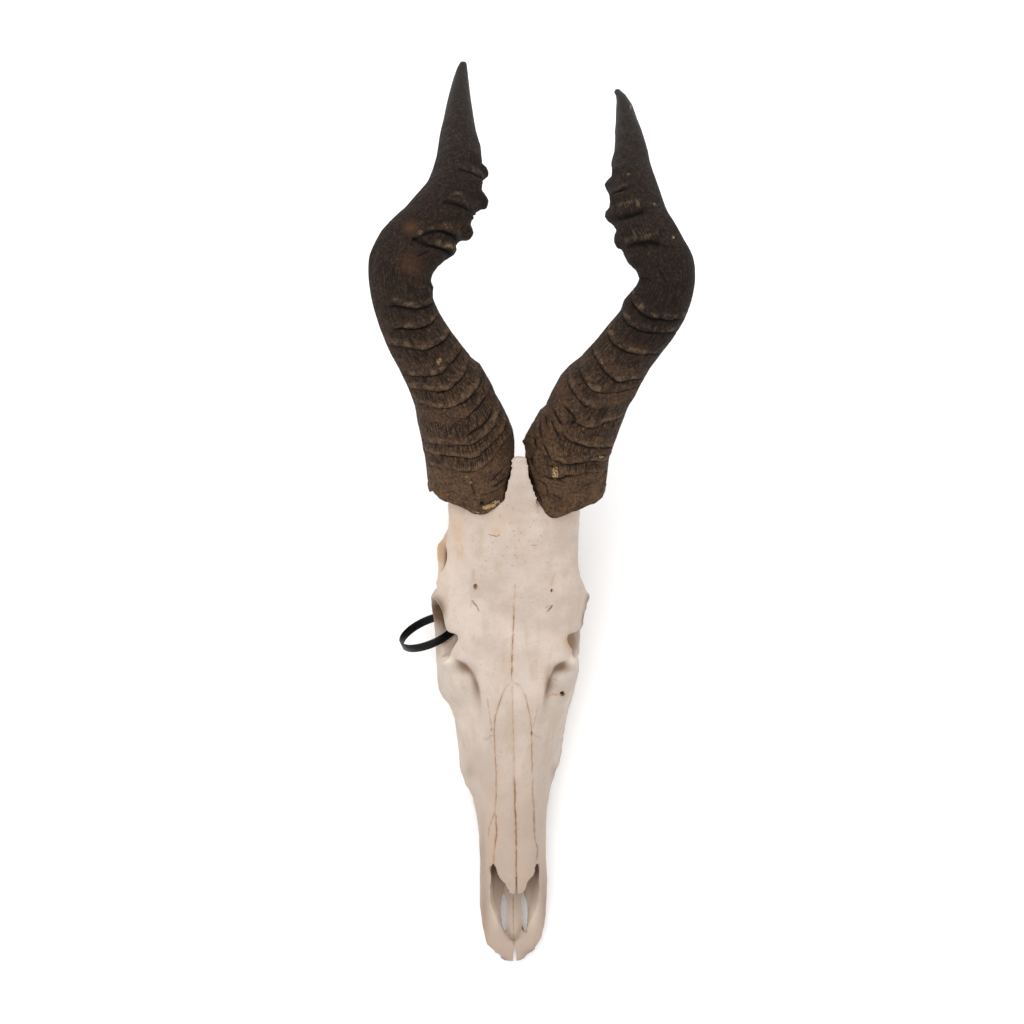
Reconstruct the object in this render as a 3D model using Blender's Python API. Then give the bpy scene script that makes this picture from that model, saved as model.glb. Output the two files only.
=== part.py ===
"""Hartebeest skull: cranium, two horns, twelve upper cheek teeth and a cable tie.

The skull lies face up, nose toward -Y, horns toward +Y, on its tooth crowns and on the
two bony processes beside the neck joint. Left is -X. Sizes here are in millimetres and
become metres where a mesh is made. Before the last step, x is measured from the midline
of the braincase, y from the tip of the nose and z from the surface that it lies on.
"""
import math

import bpy
import bmesh
import numpy as np
from mathutils import Matrix, Vector

MM = 0.001
GAP = 0.3

# Driving sizes
MUZZLE_HALF_WIDTH = 31.0
FOREHEAD_HALF_WIDTH = 57.5
CREST_HEIGHT = 205.0
PALATE_HEIGHT = 20.0
ORBIT_CENTRE = (56.5, 306.0, 94.0)
ORBIT_LENGTH_RADIUS = 26.0
ORBIT_HEIGHT_RADIUS = 22.5
ORBIT_RIM_RADIUS = 4.6
ORBIT_DEPTH = 34.0
ORBIT_RIM_DEPTH = 6.0
HORN_RING_HEIGHT = 2.6
HORN_KNUCKLE_HEIGHT = 6.5
HORN_SOCKET_DEPTH = 20.0
KNEE = 208.0
CORE_RADIUS = 27.0
CORE_TAPER = 0.72
CORE_SLACK = 0.9
HORN_CLEARANCE = 1.8
TIE_WIDTH = 7.6
TIE_THICKNESS = 1.6
TIE_CENTRE = (-71.8, 303.0, 62.4)
TIE_RADII = (27.0, 23.5)

# Fineness of the solids
BONE_VOXEL = 2.6
FINE_VOXEL = 2.0
BONE_TRIANGLES = 4000
HORN_SIDES = 14
ORBIT_STEPS = 36
ORBIT_RIM_SIDES = 10
TIE_STEPS = 40

for thing in list(bpy.data.objects):
    bpy.data.objects.remove(thing, do_unlink=True)


def spline(knots, values, at):
    """Read a smooth curve through one row of values at each knot."""
    knots = np.asarray(knots, float)
    values = np.asarray(values, float)
    at = np.clip(np.atleast_1d(np.asarray(at, float)), knots[0], knots[-1])
    slopes = np.gradient(values, knots, axis=0)
    span = np.clip(np.searchsorted(knots, at, side="right") - 1, 0, len(knots) - 2)
    width = knots[span + 1] - knots[span]
    t = (at - knots[span]) / width
    tail = (1,) * (values.ndim - 1)
    t = t.reshape((-1,) + tail)
    width = width.reshape((-1,) + tail)
    start = (2 * t ** 3 - 3 * t ** 2 + 1) * values[span]
    leave = (t ** 3 - 2 * t ** 2 + t) * width * slopes[span]
    end = (3 * t ** 2 - 2 * t ** 3) * values[span + 1]
    arrive = (t ** 3 - t ** 2) * width * slopes[span + 1]
    return start + leave + end + arrive


def rounded_loop(points, per_span):
    """Closed smooth outline through the points."""
    points = np.asarray(points, float)
    count = len(points)
    outline = []
    for i in range(count):
        before = points[i - 1]
        here = points[i]
        after = points[(i + 1) % count]
        later = points[(i + 2) % count]
        for k in range(per_span):
            t = k / per_span
            bend = (2 * before - 5 * here + 4 * after - later) * t ** 2
            twist = (3 * here - before - 3 * after + later) * t ** 3
            outline.append(here + 0.5 * ((after - before) * t + bend + twist))
    return np.array(outline)


def loft(name, rings):
    """Closed skin over a row of rings, flat at both ends."""
    mesh = bpy.data.meshes.new(name)
    shape = bmesh.new()
    loops = [[shape.verts.new(Vector(point) * MM) for point in ring] for ring in rings]
    count = len(loops[0])
    for lower, upper in zip(loops, loops[1:]):
        for i in range(count):
            j = (i + 1) % count
            shape.faces.new((lower[i], lower[j], upper[j], upper[i]))
    caps = [shape.faces.new(loops[0]), shape.faces.new(loops[-1])]
    bmesh.ops.triangulate(shape, faces=caps)
    bmesh.ops.recalc_face_normals(shape, faces=shape.faces)
    shape.to_mesh(mesh)
    shape.free()
    made = bpy.data.objects.new(name, mesh)
    bpy.context.scene.collection.objects.link(made)
    return made


def hoop(name, rings):
    """Closed skin over a row of rings that comes back to its start."""
    mesh = bpy.data.meshes.new(name)
    shape = bmesh.new()
    loops = [[shape.verts.new(Vector(point) * MM) for point in ring] for ring in rings]
    count = len(loops[0])
    for here, there in zip(loops, loops[1:] + loops[:1]):
        for i in range(count):
            j = (i + 1) % count
            shape.faces.new((here[i], here[j], there[j], there[i]))
    bmesh.ops.recalc_face_normals(shape, faces=shape.faces)
    shape.to_mesh(mesh)
    shape.free()
    made = bpy.data.objects.new(name, mesh)
    bpy.context.scene.collection.objects.link(made)
    return made


def body_loft(name, table, spacing, per_span=3):
    """Bone form from half outlines (x, z), top to bottom, one for each y, mirrored."""
    stations = [row[0] for row in table]
    halves = np.array([row[1] for row in table], float)
    at = np.linspace(stations[0], stations[-1], int((stations[-1] - stations[0]) / spacing) + 2)
    rings = []
    for y, half in zip(at, spline(stations, halves, at)):
        mirrored = half[-2:0:-1] * (-1, 1)
        outline = rounded_loop(np.vstack((half, mirrored)), per_span)
        rings.append([(x, y, z) for x, z in outline])
    return loft(name, rings)


def limb(name, points, radii, up, sides=14, steps=6):
    """Rod of bone along a smooth line, with an oval section at each point."""
    knots = list(range(len(points)))
    at = np.linspace(0, knots[-1], knots[-1] * steps + 1)
    centres = spline(knots, points, at)
    ovals = spline(knots, radii, at)
    forward = np.gradient(centres, axis=0)
    rings = []
    for centre, direction, oval in zip(centres, forward, ovals):
        along = Vector(direction).normalized()
        side = along.cross(Vector(up)).normalized()
        above = side.cross(along)
        ring = []
        for i in range(sides):
            angle = 2 * math.pi * i / sides
            point = Vector(centre) + side * oval[0] * math.cos(angle)
            ring.append(point + above * oval[1] * math.sin(angle))
        rings.append(ring)
    return loft(name, rings)


def ball(name, centre, radii, turn=None, segments=20, rings=12):
    """Ellipsoid, turned about its centre where a rotation is given."""
    mesh = bpy.data.meshes.new(name)
    shape = bmesh.new()
    bmesh.ops.create_uvsphere(shape, u_segments=segments, v_segments=rings, radius=1.0)
    scale = Matrix.Diagonal((*radii, 1.0))
    spin = turn.to_4x4() if turn else Matrix.Identity(4)
    place = Matrix.Translation(Vector(centre) * MM) @ spin @ Matrix.Scale(MM, 4) @ scale
    bmesh.ops.transform(shape, matrix=place, verts=shape.verts)
    shape.to_mesh(mesh)
    shape.free()
    made = bpy.data.objects.new(name, mesh)
    bpy.context.scene.collection.objects.link(made)
    return made


def mirrored(points):
    return [(-x, y, z) for x, y, z in points]


def gathered(name, things):
    """One object that holds the meshes of several, which are taken away."""
    shape = bmesh.new()
    for thing in things:
        shape.from_mesh(thing.data)
    mesh = bpy.data.meshes.new(name)
    shape.to_mesh(mesh)
    shape.free()
    for thing in things:
        bpy.data.objects.remove(thing, do_unlink=True)
    made = bpy.data.objects.new(name, mesh)
    bpy.context.scene.collection.objects.link(made)
    return made


def settled(thing):
    """Turn an object's modifiers into its mesh."""
    evaluated = thing.evaluated_get(bpy.context.evaluated_depsgraph_get())
    mesh = bpy.data.meshes.new_from_object(evaluated)
    thing.modifiers.clear()
    thing.data = mesh


def combine(thing, tool, operation):
    """Cut or join with a second closed form, which is then taken away."""
    modifier = thing.modifiers.new(operation.title(), "BOOLEAN")
    modifier.operation = operation
    modifier.solver = "EXACT"
    modifier.use_self = True
    modifier.object = tool
    settled(thing)
    bpy.data.objects.remove(tool, do_unlink=True)


def fused(thing, voxel, smoothing):
    """Melt overlapping forms into one skin and soften it."""
    remesh = thing.modifiers.new("Remesh", "REMESH")
    remesh.mode = "VOXEL"
    remesh.voxel_size = voxel * MM
    soften = thing.modifiers.new("Soften", "SMOOTH")
    soften.factor = 0.5
    soften.iterations = smoothing
    settled(thing)


def thinned(thing, triangles):
    """Bring the skin down to about the number of triangles given."""
    thing.data.calc_loop_triangles()
    fewer = thing.modifiers.new("Thin", "DECIMATE")
    fewer.ratio = min(1.0, triangles / len(thing.data.loop_triangles))
    fewer.use_collapse_triangulate = True
    settled(thing)


def press(thing, centre, radii, depth):
    """Press a soft hollow into the skin along -normal, or raise it with a negative depth."""
    mesh = thing.data
    for vertex in mesh.vertices:
        away = [(vertex.co[i] / MM - centre[i]) / radii[i] for i in range(3)]
        reach = sum(value * value for value in away)
        if reach < 1:
            vertex.co -= vertex.normal * depth * MM * (1 - reach) ** 2


def finish(thing, name, colour, roughness):
    """Name a piece and give it its own material."""
    thing.name = name
    thing.data.name = name
    material = bpy.data.materials.new(name)
    material.use_nodes = True
    shader = material.node_tree.nodes["Principled BSDF"]
    shader.inputs["Base Color"].default_value = (*colour, 1.0)
    shader.inputs["Roughness"].default_value = roughness
    shader.inputs["Metallic"].default_value = 0.0
    thing.data.materials.clear()
    thing.data.materials.append(material)
    thing.data.shade_smooth()
    thing.data.set_sharp_from_angle(angle=math.radians(40))
    return thing


# The muzzle bends a little toward +X on its way from the forehead to the nose
LEAN_Y = (0, 80, 115, 160, 200, 260, 330, 380, 460)
LEAN_X = (5.4, 5.3, 4.5, 2.8, 1.0, -1.0, -1.0, -1.8, 1.0)


def lean(thing):
    for vertex in thing.data.vertices:
        vertex.co.x += spline(LEAN_Y, LEAN_X, vertex.co.y / MM)[0] * MM


# Cranium: half outlines of the face, from the tip of the nose to the back of the orbits.
# Each goes from the top midline down the side to the middle of the palate.
ROOF = PALATE_HEIGHT
SNOUT = MUZZLE_HALF_WIDTH
BROW = FOREHEAD_HALF_WIDTH
FACE = (
    (0, ((0, 15), (4, 15), (7, 14.5), (9, 13), (9, 11), (7, 9.5), (4, 9), (0, 9))),
    (10, ((0, 20), (9, 20), (17, 19.5), (22.5, 16.5), (22, 12.5), (17, 9), (9, 8), (0, 8))),
    (28, ((0, 23), (11, 23), (21, 25), (28.5, 20), (28, 14), (22, 9.5), (11, 9), (0, 10))),
    (54, ((0, 36), (13, 36), (23, 38), (SNOUT, 27), (30, 16), (23, 9.5), (12, 10), (0, 11.5))),
    (76, ((0, 54), (13, 54), (23, 54), (SNOUT, 36), (30, 20), (22, 10), (11, 11.5), (0, 13))),
    (97, ((0, 78), (12, 76.5), (20, 70), (SNOUT, 42), (29.5, 20), (21, 10.5), (10, 12.5), (0, 14))),
    (120, ((0, 86), (12, 85), (20, 79), (31.5, 50), (32, 26), (25, 12.5), (12, 14.5), (0, 16))),
    (145, ((0, 95), (12.5, 94), (20, 88), (33, 58), (36, 30), (32, 13), (17, 16), (0, 18))),
    (163, ((0, 100), (13, 99), (20, 93.5), (35, 64), (42.5, 36), (39.5, 13), (24, 14.5), (0, 19))),
    (190, ((0, 107), (13, 106.5), (20, 101), (37, 74), (46.5, 42), (42, 13), (27, 14.5), (0, ROOF))),
    (216, ((0, 114.5), (14, 114), (22, 109), (42, 82), (52, 52), (44, 16), (27, 14.5), (0, ROOF))),
    (245, ((0, 122), (15, 122), (28, 118), (49, 96), (59.5, 62), (46, 19), (27, 15), (0, ROOF))),
    (265, ((0, 127), (18, 127), (38, 123), (53, 111), (63, 74), (48, 42), (25, 24), (0, 24))),
    (282, ((0, 131), (22, 131), (44, 127), (57, 116), (63, 86), (46, 60), (19, 32), (0, 29))),
    (296, ((0, 135), (23, 135.5), (46, 131), (59, 120), (30, 97), (23, 63), (16, 34), (0, 31))),
    (310, ((0, 139), (24, 139.5), (48, 135), (61, 121), (28, 98), (22, 66), (15, 34), (0, 32))),
    (331, ((0, 146), (26, 146), (52, 139), (67.5, 119), (38, 100), (30, 66), (17, 36), (0, 33))),
    (345, ((0, 152), (26, 152), (50, 144.5), (61, 128), (44, 104), (41, 68), (20, 36), (0, 34))),
    (365, ((0, 161), (26, 161.5), (49, 155), (BROW, 139), (46, 108), (46, 70), (24, 36), (0, 34))),
    (390, ((0, 173), (26, 174), (49, 168), (BROW, 152), (47, 116), (47, 72), (28, 38), (0, 34))),
    (408, ((0, 182), (26, 183), (48, 178), (56, 163), (47, 124), (43, 86), (30, 48), (0, 38))),
    (416, ((0, 186), (26, 187), (46, 181), (52, 166), (44, 132), (36, 100), (24, 62), (0, 52))),
)
PEDICLE = (
    (392, ((0, 173), (28, 174), (50, 167), (55, 150), (50, 128), (34, 112), (16, 106), (0, 106))),
    (415, ((0, 187), (28, 188), (49, 182), (56, 166), (50, 140), (36, 118), (16, 110), (0, 110))),
    (436, ((0, 197), (28, 197), (46, 190), (52, 175), (46, 150), (32, 132), (16, 124), (0, 122))),
    (450, ((0, 202), (24, 201), (38, 195), (42, 182), (38, 164), (26, 150), (12, 144), (0, 142))),
    (457, ((0, CREST_HEIGHT), (16, 203), (26, 197), (29, 188), (25, 177), (16, 168), (8, 165), (0, 164))),
)
OCCIPUT = (
    (384, ((0, 128), (20, 126), (36, 118), (46, 100), (50, 76), (46, 50), (24, 38), (0, 36))),
    (404, ((0, 126), (20, 124), (36, 115), (46, 98), (50, 76), (44, 54), (22, 40), (0, 37))),
    (418, ((0, 122), (16, 119), (28, 108), (36, 92), (37, 76), (30, 62), (16, 52), (0, 50))),
)
# Floor of the braincase, between the roof of the throat and the joint of the neck
SKULL_BASE = (
    (318, ((0, 60), (12, 58), (16, 48), (16, 40), (13, 33), (6, 30), (0, 30))),
    (345, ((0, 60), (20, 58), (26, 48), (25, 38), (18, 30), (8, 27), (0, 27))),
    (372, ((0, 60), (24, 58), (32, 47), (33, 34), (24, 22), (9, 21), (0, 23))),
    (392, ((0, 60), (28, 56), (38, 44), (36, 28), (26, 14), (10, 16), (0, 19))),
    (408, ((0, 46), (18, 47), (29, 40), (29, 24), (22, 9), (9, 15), (0, 18))),
)

solids = [body_loft("face", FACE, 5), body_loft("pedicle", PEDICLE, 5)]
solids.append(body_loft("occiput", OCCIPUT, 5))
solids.append(body_loft("skull_base", SKULL_BASE, 5))


def orbit_turn(side):
    """The socket looks outward, a little up and a little toward the nose."""
    return Matrix.Rotation(side * math.radians(-20), 3, "Z") @ Matrix.Rotation(
        side * math.radians(-10), 3, "Y")


def orbit_rim(side):
    centre = Vector((side * ORBIT_CENTRE[0], ORBIT_CENTRE[1], ORBIT_CENTRE[2]))
    turn = orbit_turn(side)
    rings = []
    for i in range(ORBIT_STEPS):
        angle = 2 * math.pi * i / ORBIT_STEPS
        out = Vector((0, math.cos(angle), math.sin(angle)))
        middle = Vector((0, out.y * ORBIT_LENGTH_RADIUS, out.z * ORBIT_HEIGHT_RADIUS))
        ring = []
        for k in range(ORBIT_RIM_SIDES):
            around = 2 * math.pi * k / ORBIT_RIM_SIDES
            reach = Vector((ORBIT_RIM_DEPTH * math.cos(around), 0, 0))
            ring.append(centre + turn @ (middle + reach + out * ORBIT_RIM_RADIUS * math.sin(around)))
        rings.append(ring)
    return hoop("orbit_rim", rings)


# Cheekbone arch, from under the eye socket back to the ear; the left one stands out more
ARCH = {
    -1: ((-52, 236, 54), (-59, 262, 60), (-63, 292, 64), (-63.5, 322, 67), (-61, 350, 66),
         (-60.5, 374, 64), (-48, 394, 64)),
    1: ((52, 236, 54), (58, 262, 60), (59.5, 292, 64), (59.5, 322, 67), (56, 350, 66),
        (54, 370, 64), (43, 388, 64)),
}
ARCH_RADII = ((9, 14), (7, 12), (4.5, 8.5), (4.2, 8), (4.8, 6), (5.5, 5), (7, 6))
BROW_BAR = ((60, 337, 124), (64, 337, 104), (63.5, 338, 84), (61, 336, 68))
BROW_BAR_RADII = ((7, 5), (6, 4.2), (5.5, 4), (6, 5))
NECK_PROCESS = ((42, 396, 66), (41, 394, 44), (39, 389, 20), (38, 386, -0.8))
NECK_PROCESS_RADII = ((9, 8), (7.5, 6), (5.5, 4), (4, 3))
PTERYGOID = ((13, 262, 30), (14, 282, 24), (14, 300, 22), (13, 316, 34))
PTERYGOID_RADII = ((3, 9), (2.6, 11), (2.4, 9), (3, 7))
for side in (-1, 1):
    flip = mirrored if side < 0 else list
    solids.append(limb("arch", ARCH[side], ARCH_RADII, (0, 0, 1)))
    solids.append(limb("brow_bar", flip(BROW_BAR), BROW_BAR_RADII, (1, 0, 0)))
    solids.append(limb("neck_process", flip(NECK_PROCESS), NECK_PROCESS_RADII, (0, 1, 0)))
    solids.append(limb("pterygoid", flip(PTERYGOID), PTERYGOID_RADII, (0, 0, 1)))
    solids.append(orbit_rim(side))
    solids.append(ball("condyle", (side * 18, 406, 20), (11.5, 14, 18.5)))
    solids.append(ball("bulla", (side * 27, 362, 29), (10, 15, 15)))
cranium = gathered("cranium", solids)
fused(cranium, BONE_VOXEL, 3)

# Hollows of the cranium
NASAL_CAVITY = (
    (20, ((0, 60), (2, 60), (4, 40), (4, 20), (3, 14.5), (2, 14), (0, 14))),
    (30, ((0, 60), (6, 60), (10.5, 40), (10.5, 22), (8, 14.5), (4, 14), (0, 14))),
    (44, ((0, 70), (12, 70), (17.5, 50), (17, 26), (13.5, 15), (7, 14.5), (0, 14.5))),
    (60, ((0, 84), (16, 84), (21.3, 60), (20, 30), (15, 16), (8, 15), (0, 15))),
    (80, ((0, 96), (18, 96), (22.3, 74), (20, 36), (14, 18), (8, 16.5), (0, 16.5))),
    (96.5, ((0, 96), (16, 96), (19, 80), (20, 40), (15, 20), (8, 18), (0, 18))),
    (98, ((0, 74), (11, 73), (15.5, 67), (20, 40), (17, 22), (8, 19), (0, 19))),
    (101, ((0, 74.5), (11, 73.5), (15.5, 67.5), (20, 40), (17, 22), (8, 19), (0, 19))),
    (130, ((0, 80), (11, 79), (15.5, 73), (22, 44), (20, 26), (9, 22), (0, 22))),
    (165, ((0, 86), (11, 84), (15.5, 77), (22, 50), (20, 34), (9, 30), (0, 30))),
)
cutters = [body_loft("nasal_cavity", NASAL_CAVITY, 4)]
for side in (-1, 1):
    centre = Vector((side * (ORBIT_CENTRE[0] + 4), ORBIT_CENTRE[1], ORBIT_CENTRE[2]))
    hollow = (ORBIT_DEPTH, ORBIT_LENGTH_RADIUS - 3.2, ORBIT_HEIGHT_RADIUS - 2.8)
    cutters.append(ball("orbit", centre, hollow, orbit_turn(side), 28, 16))
    notch = limb("brow_notch", ((side * 60, 296, 108), (side * 60, 296, 150)),
                 ((8.5, 7.5), (8.5, 7.5)), (0, 1, 0))
    cutters.append(notch)
cutters.append(ball("choana", (0, 300, 26), (10.5, 42, 19)))
cutters.append(ball("neck_opening", (0, 420, 52), (14, 26, 13)))
hollows = gathered("hollows", cutters)
hollows.hide_render = True
hollows.display_type = "WIRE"
combine(cranium, hollows, "DIFFERENCE")

# The nasal bones end in two blunt points that stand free over the opening
NASAL_TIPS = (
    (70, ((0, 74.5), (3, 74), (6, 72.5), (6.6, 71.5), (5.6, 70.8), (3, 71), (0, 71.2))),
    (76, ((0, 77), (4, 76.6), (7.5, 75), (8.4, 73.6), (7, 72.6), (4, 73), (0, 73.5))),
    (84, ((0, 79), (7, 78.4), (12.5, 75), (14.2, 72), (12, 71), (7, 74), (0, 75))),
    (92, ((0, 80), (9, 79), (16, 74.5), (18, 70), (15.5, 69), (9, 74.5), (0, 76))),
    (104, ((0, 82), (10, 81), (17, 77), (19.5, 71), (16, 69), (9, 75), (0, 77))),
)
combine(cranium, body_loft("nasal_tips", NASAL_TIPS, 4), "UNION")

# Hollows in front of the eyes and the low relief of the face
cranium.data.update()
for side in (-1, 1):
    press(cranium, (side * 46, 262, 104), (17, 26, 30), 7.0)
    press(cranium, (side * 42, 228, 88), (14, 24, 26), 2.5)
    press(cranium, (side * 62, 281, 108), (8, 7, 10), -2.4)
lean(cranium)

# Horns: the middle line from the base to the tip, as seen face on, with half widths
LEFT_HORN = (
    (-40.4, 435.6, 165, 37.2), (-42.7, 469.3, 191, 37.9), (-54.8, 503.8, 216, 33.4),
    (-74.6, 537.7, 239, 26.6), (-94.4, 569.6, 257, 24.8), (-101.5, 600.2, 265, 26.2),
    (-93.6, 625, 263, 26.2), (-75.0, 649.1, 252, 25.0), (-58.0, 673.4, 235, 23.4),
    (-51.4, 700, 215, 20), (-50.3, 733.7, 190, 14.6), (-47.9, 768, 165, 9.2),
    (-44.6, 796, 145.6, 3.2),
)
RIGHT_HORN = (
    (42.0, 435.6, 165, 34.5), (43.0, 469.3, 191, 36.8), (60.2, 503.8, 216, 30.4),
    (71.6, 521.5, 228, 29.6), (84.2, 539.5, 240, 26.2), (105.6, 569.6, 257, 25.4),
    (119.2, 600.2, 265, 27.4),
    (111.2, 625, 263, 26.6), (100.6, 649.1, 252, 24.8), (96.4, 673.4, 235, 22.4),
    (93.6, 700, 215, 16.6), (94.4, 729.2, 192, 12.6), (91.3, 757.8, 170, 7.6),
    (87.6, 771, 160, 3.0),
)
LEFT_RINGS = (17, 31, 44, 57, 70, 91, 105, 120, 134, 155, 174, 191)
RIGHT_RINGS = (15, 28, 40, 53, 70, 88, 101, 117, 133, 156, 175, 188)
LEFT_KNUCKLES = (248, 272, 295, 321)
RIGHT_KNUCKLES = (252, 276, 304)
# The first part of a horn is a little deeper than wide, and its rings face this way
BASE_DEPTH = 1.07
BASE_LENGTH = 120.0
RING_SAG = 3.5
RING_FACING = math.radians(35)
KNUCKLE_FACING = math.radians(58)
# Along the horn, from just under a ring to just over it: part of the spacing, rise
PLAIN_PARTS = (0.12, 0.3, 0.5, 0.68, 0.84, 0.95, 1.0)
RING_PROFILE = ((-0.05, -0.5), (0.12, 1.0), (0.58, 0.3))


def horn_axis(points):
    """Middle line and half width against the length from the base."""
    table = np.array(points, float)
    fine = spline(range(len(table)), table, np.linspace(0, len(table) - 1, 400))
    length = np.concatenate(([0.0], np.cumsum(np.linalg.norm(np.diff(fine[:, :3], axis=0), axis=1))))
    return length, fine


def horn_ring(length, fine, station, medial, rise, grow=0.0):
    """One loop round the horn at a length from its base.

    Rings below the knee sag toward the base at the front and are low at the back. Beyond
    it they stand out on the front and inner side only.
    """
    place = np.array([np.interp(station, length, fine[:, i]) for i in range(4)])
    ahead = np.array([np.interp(station + 2, length, fine[:, i]) for i in range(3)])
    behind = np.array([np.interp(station - 2, length, fine[:, i]) for i in range(3)])
    along = Vector(ahead - behind).normalized()
    front = (Vector((0, 0, 1)) - along * along.z).normalized()
    across = along.cross(front)
    deep = BASE_DEPTH if station < BASE_LENGTH else 1.0
    ring = []
    for i in range(HORN_SIDES):
        angle = 2 * math.pi * i / HORN_SIDES
        if station < KNEE:
            facing = 0.5 + 0.5 * math.cos(angle - medial * RING_FACING)
            lift = rise * (0.25 + 0.75 * facing)
            sag = -RING_SAG * facing ** 2
        else:
            facing = 0.5 + 0.5 * math.cos(angle - medial * KNUCKLE_FACING)
            lift = rise * facing ** 2
            sag = 0.0
        lift += grow
        out = across * math.sin(angle) * (place[3] + lift)
        out += front * math.cos(angle) * (place[3] * deep + lift)
        ring.append(Vector(place[:3]) + out + along * sag)
    return ring


def horn_stations(rings, knuckles, end):
    """Lengths along the horn and how far the skin stands out there."""
    marks = [(0.0, -1.5), (5.0, 0.6)]
    starts = list(rings) + list(knuckles)
    for i, start in enumerate(starts):
        spacing = (starts[i + 1] if i + 1 < len(starts) else start + 26) - start
        height = HORN_RING_HEIGHT if start < KNEE else HORN_KNUCKLE_HEIGHT
        for part, rise in RING_PROFILE:
            marks.append((start + part * spacing, rise * height))
    last = marks[-1][0]
    for part in PLAIN_PARTS:
        marks.append((last + (end - last) * part, 0.0))
    return marks


def horn(name, points, rings, knuckles, medial):
    """The whole sheath, with a rounded tip."""
    length, fine = horn_axis(points)
    skin = []
    for station, rise in horn_stations(rings, knuckles, length[-1]):
        skin.append(horn_ring(length, fine, station, medial, rise))
    tip = Vector(fine[-1, :3])
    along = (tip - Vector(fine[-8, :3])).normalized()
    last = skin[-1]
    middle = sum(last, Vector()) / HORN_SIDES
    for reach, size in ((1.6, 0.78), (2.7, 0.4)):
        skin.append([middle + (point - middle) * size + along * reach for point in last])
    return loft(name, skin)


def horn_envelope(points, medial):
    """Plain form a little larger than the base of a horn, to part the bone from it."""
    length, fine = horn_axis(points)
    skin = []
    for station in (-HORN_CLEARANCE, 4, 12, 25, 40, 55):
        low = max(station, 0.0)
        ring = horn_ring(length, fine, low, medial, HORN_RING_HEIGHT, HORN_CLEARANCE)
        along = Vector(fine[6, :3] - fine[0, :3]).normalized()
        skin.append([point + along * (station - low) for point in ring])
    return loft("envelope", skin)


def horn_core(points, grow):
    """Stub of bone that the horn sits on."""
    start = Vector(points[0][:3])
    along = (Vector(points[1][:3]) - start).normalized()
    ends = (start - along * 16, start + along * (HORN_SOCKET_DEPTH + grow))
    wide = CORE_RADIUS + grow
    narrow = CORE_RADIUS * CORE_TAPER + grow
    return limb("core", ends, ((wide, wide), (narrow, narrow)), (0, 0, 1), 16, 1)


HORNS = (
    ("horn_left", LEFT_HORN, LEFT_RINGS, LEFT_KNUCKLES, 1),
    ("horn_right", RIGHT_HORN, RIGHT_RINGS, RIGHT_KNUCKLES, -1),
)
combine(cranium, gathered("envelopes", [horn_envelope(row[1], row[4]) for row in HORNS]), "DIFFERENCE")
combine(cranium, gathered("cores", [horn_core(row[1], 0.0) for row in HORNS]), "UNION")
fused(cranium, FINE_VOXEL, 1)
thinned(cranium, BONE_TRIANGLES)
# The tips of the neck processes are worn level with the tooth crowns
for vertex in cranium.data.vertices:
    vertex.co.z = max(vertex.co.z, 0.0)

# Small cuts: the slits of the palate, the notch at the tip of the nose, the brow holes
PALATE_SLIT = ((29, 1.2), (34, 3.0), (45, 3.4), (56, 3.0), (62, 1.2))
BROW_HOLES = ((33.5, 338, 2.6), (32.0, 322, 2.2))
small_cuts = [limb("nose_notch", ((1.4, -6, 12), (1.4, 14, 12)), ((1.7, 14), (1.2, 14)), (0, 0, 1), 8, 2)]
for side in (-1, 1):
    rings = []
    for y, half in PALATE_SLIT:
        middle = side * 9.6
        corners = ((-half, 4), (half, 4), (half, 24), (-half, 24))
        rings.append([(middle + x, y, z) for x, z in corners])
    small_cuts.append(loft("palate_slit", rings))
    for x, y, reach in BROW_HOLES:
        points = ((side * x, y + 4, 134), (side * x, y - 2, 160))
        small_cuts.append(limb("brow_hole", points, ((reach, reach), (reach, reach)), (0, 1, 0), 8, 1))
small_cuts = gathered("small_cuts", small_cuts)
lean(small_cuts)
combine(cranium, small_cuts, "DIFFERENCE")

pieces = {}
for name, points, rings, knuckles, medial in HORNS:
    made = horn(name, points, rings, knuckles, medial)
    combine(made, horn_core(points, GAP + CORE_SLACK), "DIFFERENCE")
    pieces[name] = finish(made, name, (0.062, 0.040, 0.029), 0.62)

# Upper cheek teeth: name, length along the jaw, width, middle x and y
TEETH = (
    ("premolar_2", 8.5, 9.5, 31.0, 159.5), ("premolar_3", 11.0, 11.5, 32.4, 170.0),
    ("premolar_4", 12.0, 13.0, 33.8, 182.2), ("molar_1", 15.5, 15.0, 34.8, 196.8),
    ("molar_2", 18.5, 16.0, 35.4, 214.6), ("molar_3", 20.0, 15.0, 35.4, 234.6),
)
TOOTH_TOP = 19.0


# Outline of a crown as parts of its half width and half length, cheek side first
PREMOLAR_OUTLINE = ((0.94, -0.8), (0.86, 0.0), (0.94, 0.8), (0.4, 1.0), (-0.5, 0.9), (-0.98, 0.3),
                    (-0.98, -0.3), (-0.5, -0.9), (0.4, -1.0))
MOLAR_OUTLINE = ((1.0, -0.85), (0.8, -0.4), (1.0, 0.05), (0.8, 0.45), (0.94, 0.9), (0.2, 1.0),
                 (-0.72, 0.8), (-1.0, 0.45), (-0.7, 0.02), (-1.0, -0.42), (-0.74, -0.82), (0.2, -1.0))


def tooth(name, outline, long, wide, x, y, grow, bottom, top):
    """Crown with its lobes, flat on its worn face, and the part that sits in the jaw."""
    side = math.copysign(1, x)
    rings = []
    for z, part in ((bottom, 0.97), ((bottom + top) * 0.45, 1.0), (top, 0.95)):
        half_x = (wide / 2) * part + grow
        half_y = (long / 2) * part + grow
        rings.append([(x + side * half_x * across, y + half_y * along, z) for across, along in outline])
    return loft(name, rings)


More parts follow.
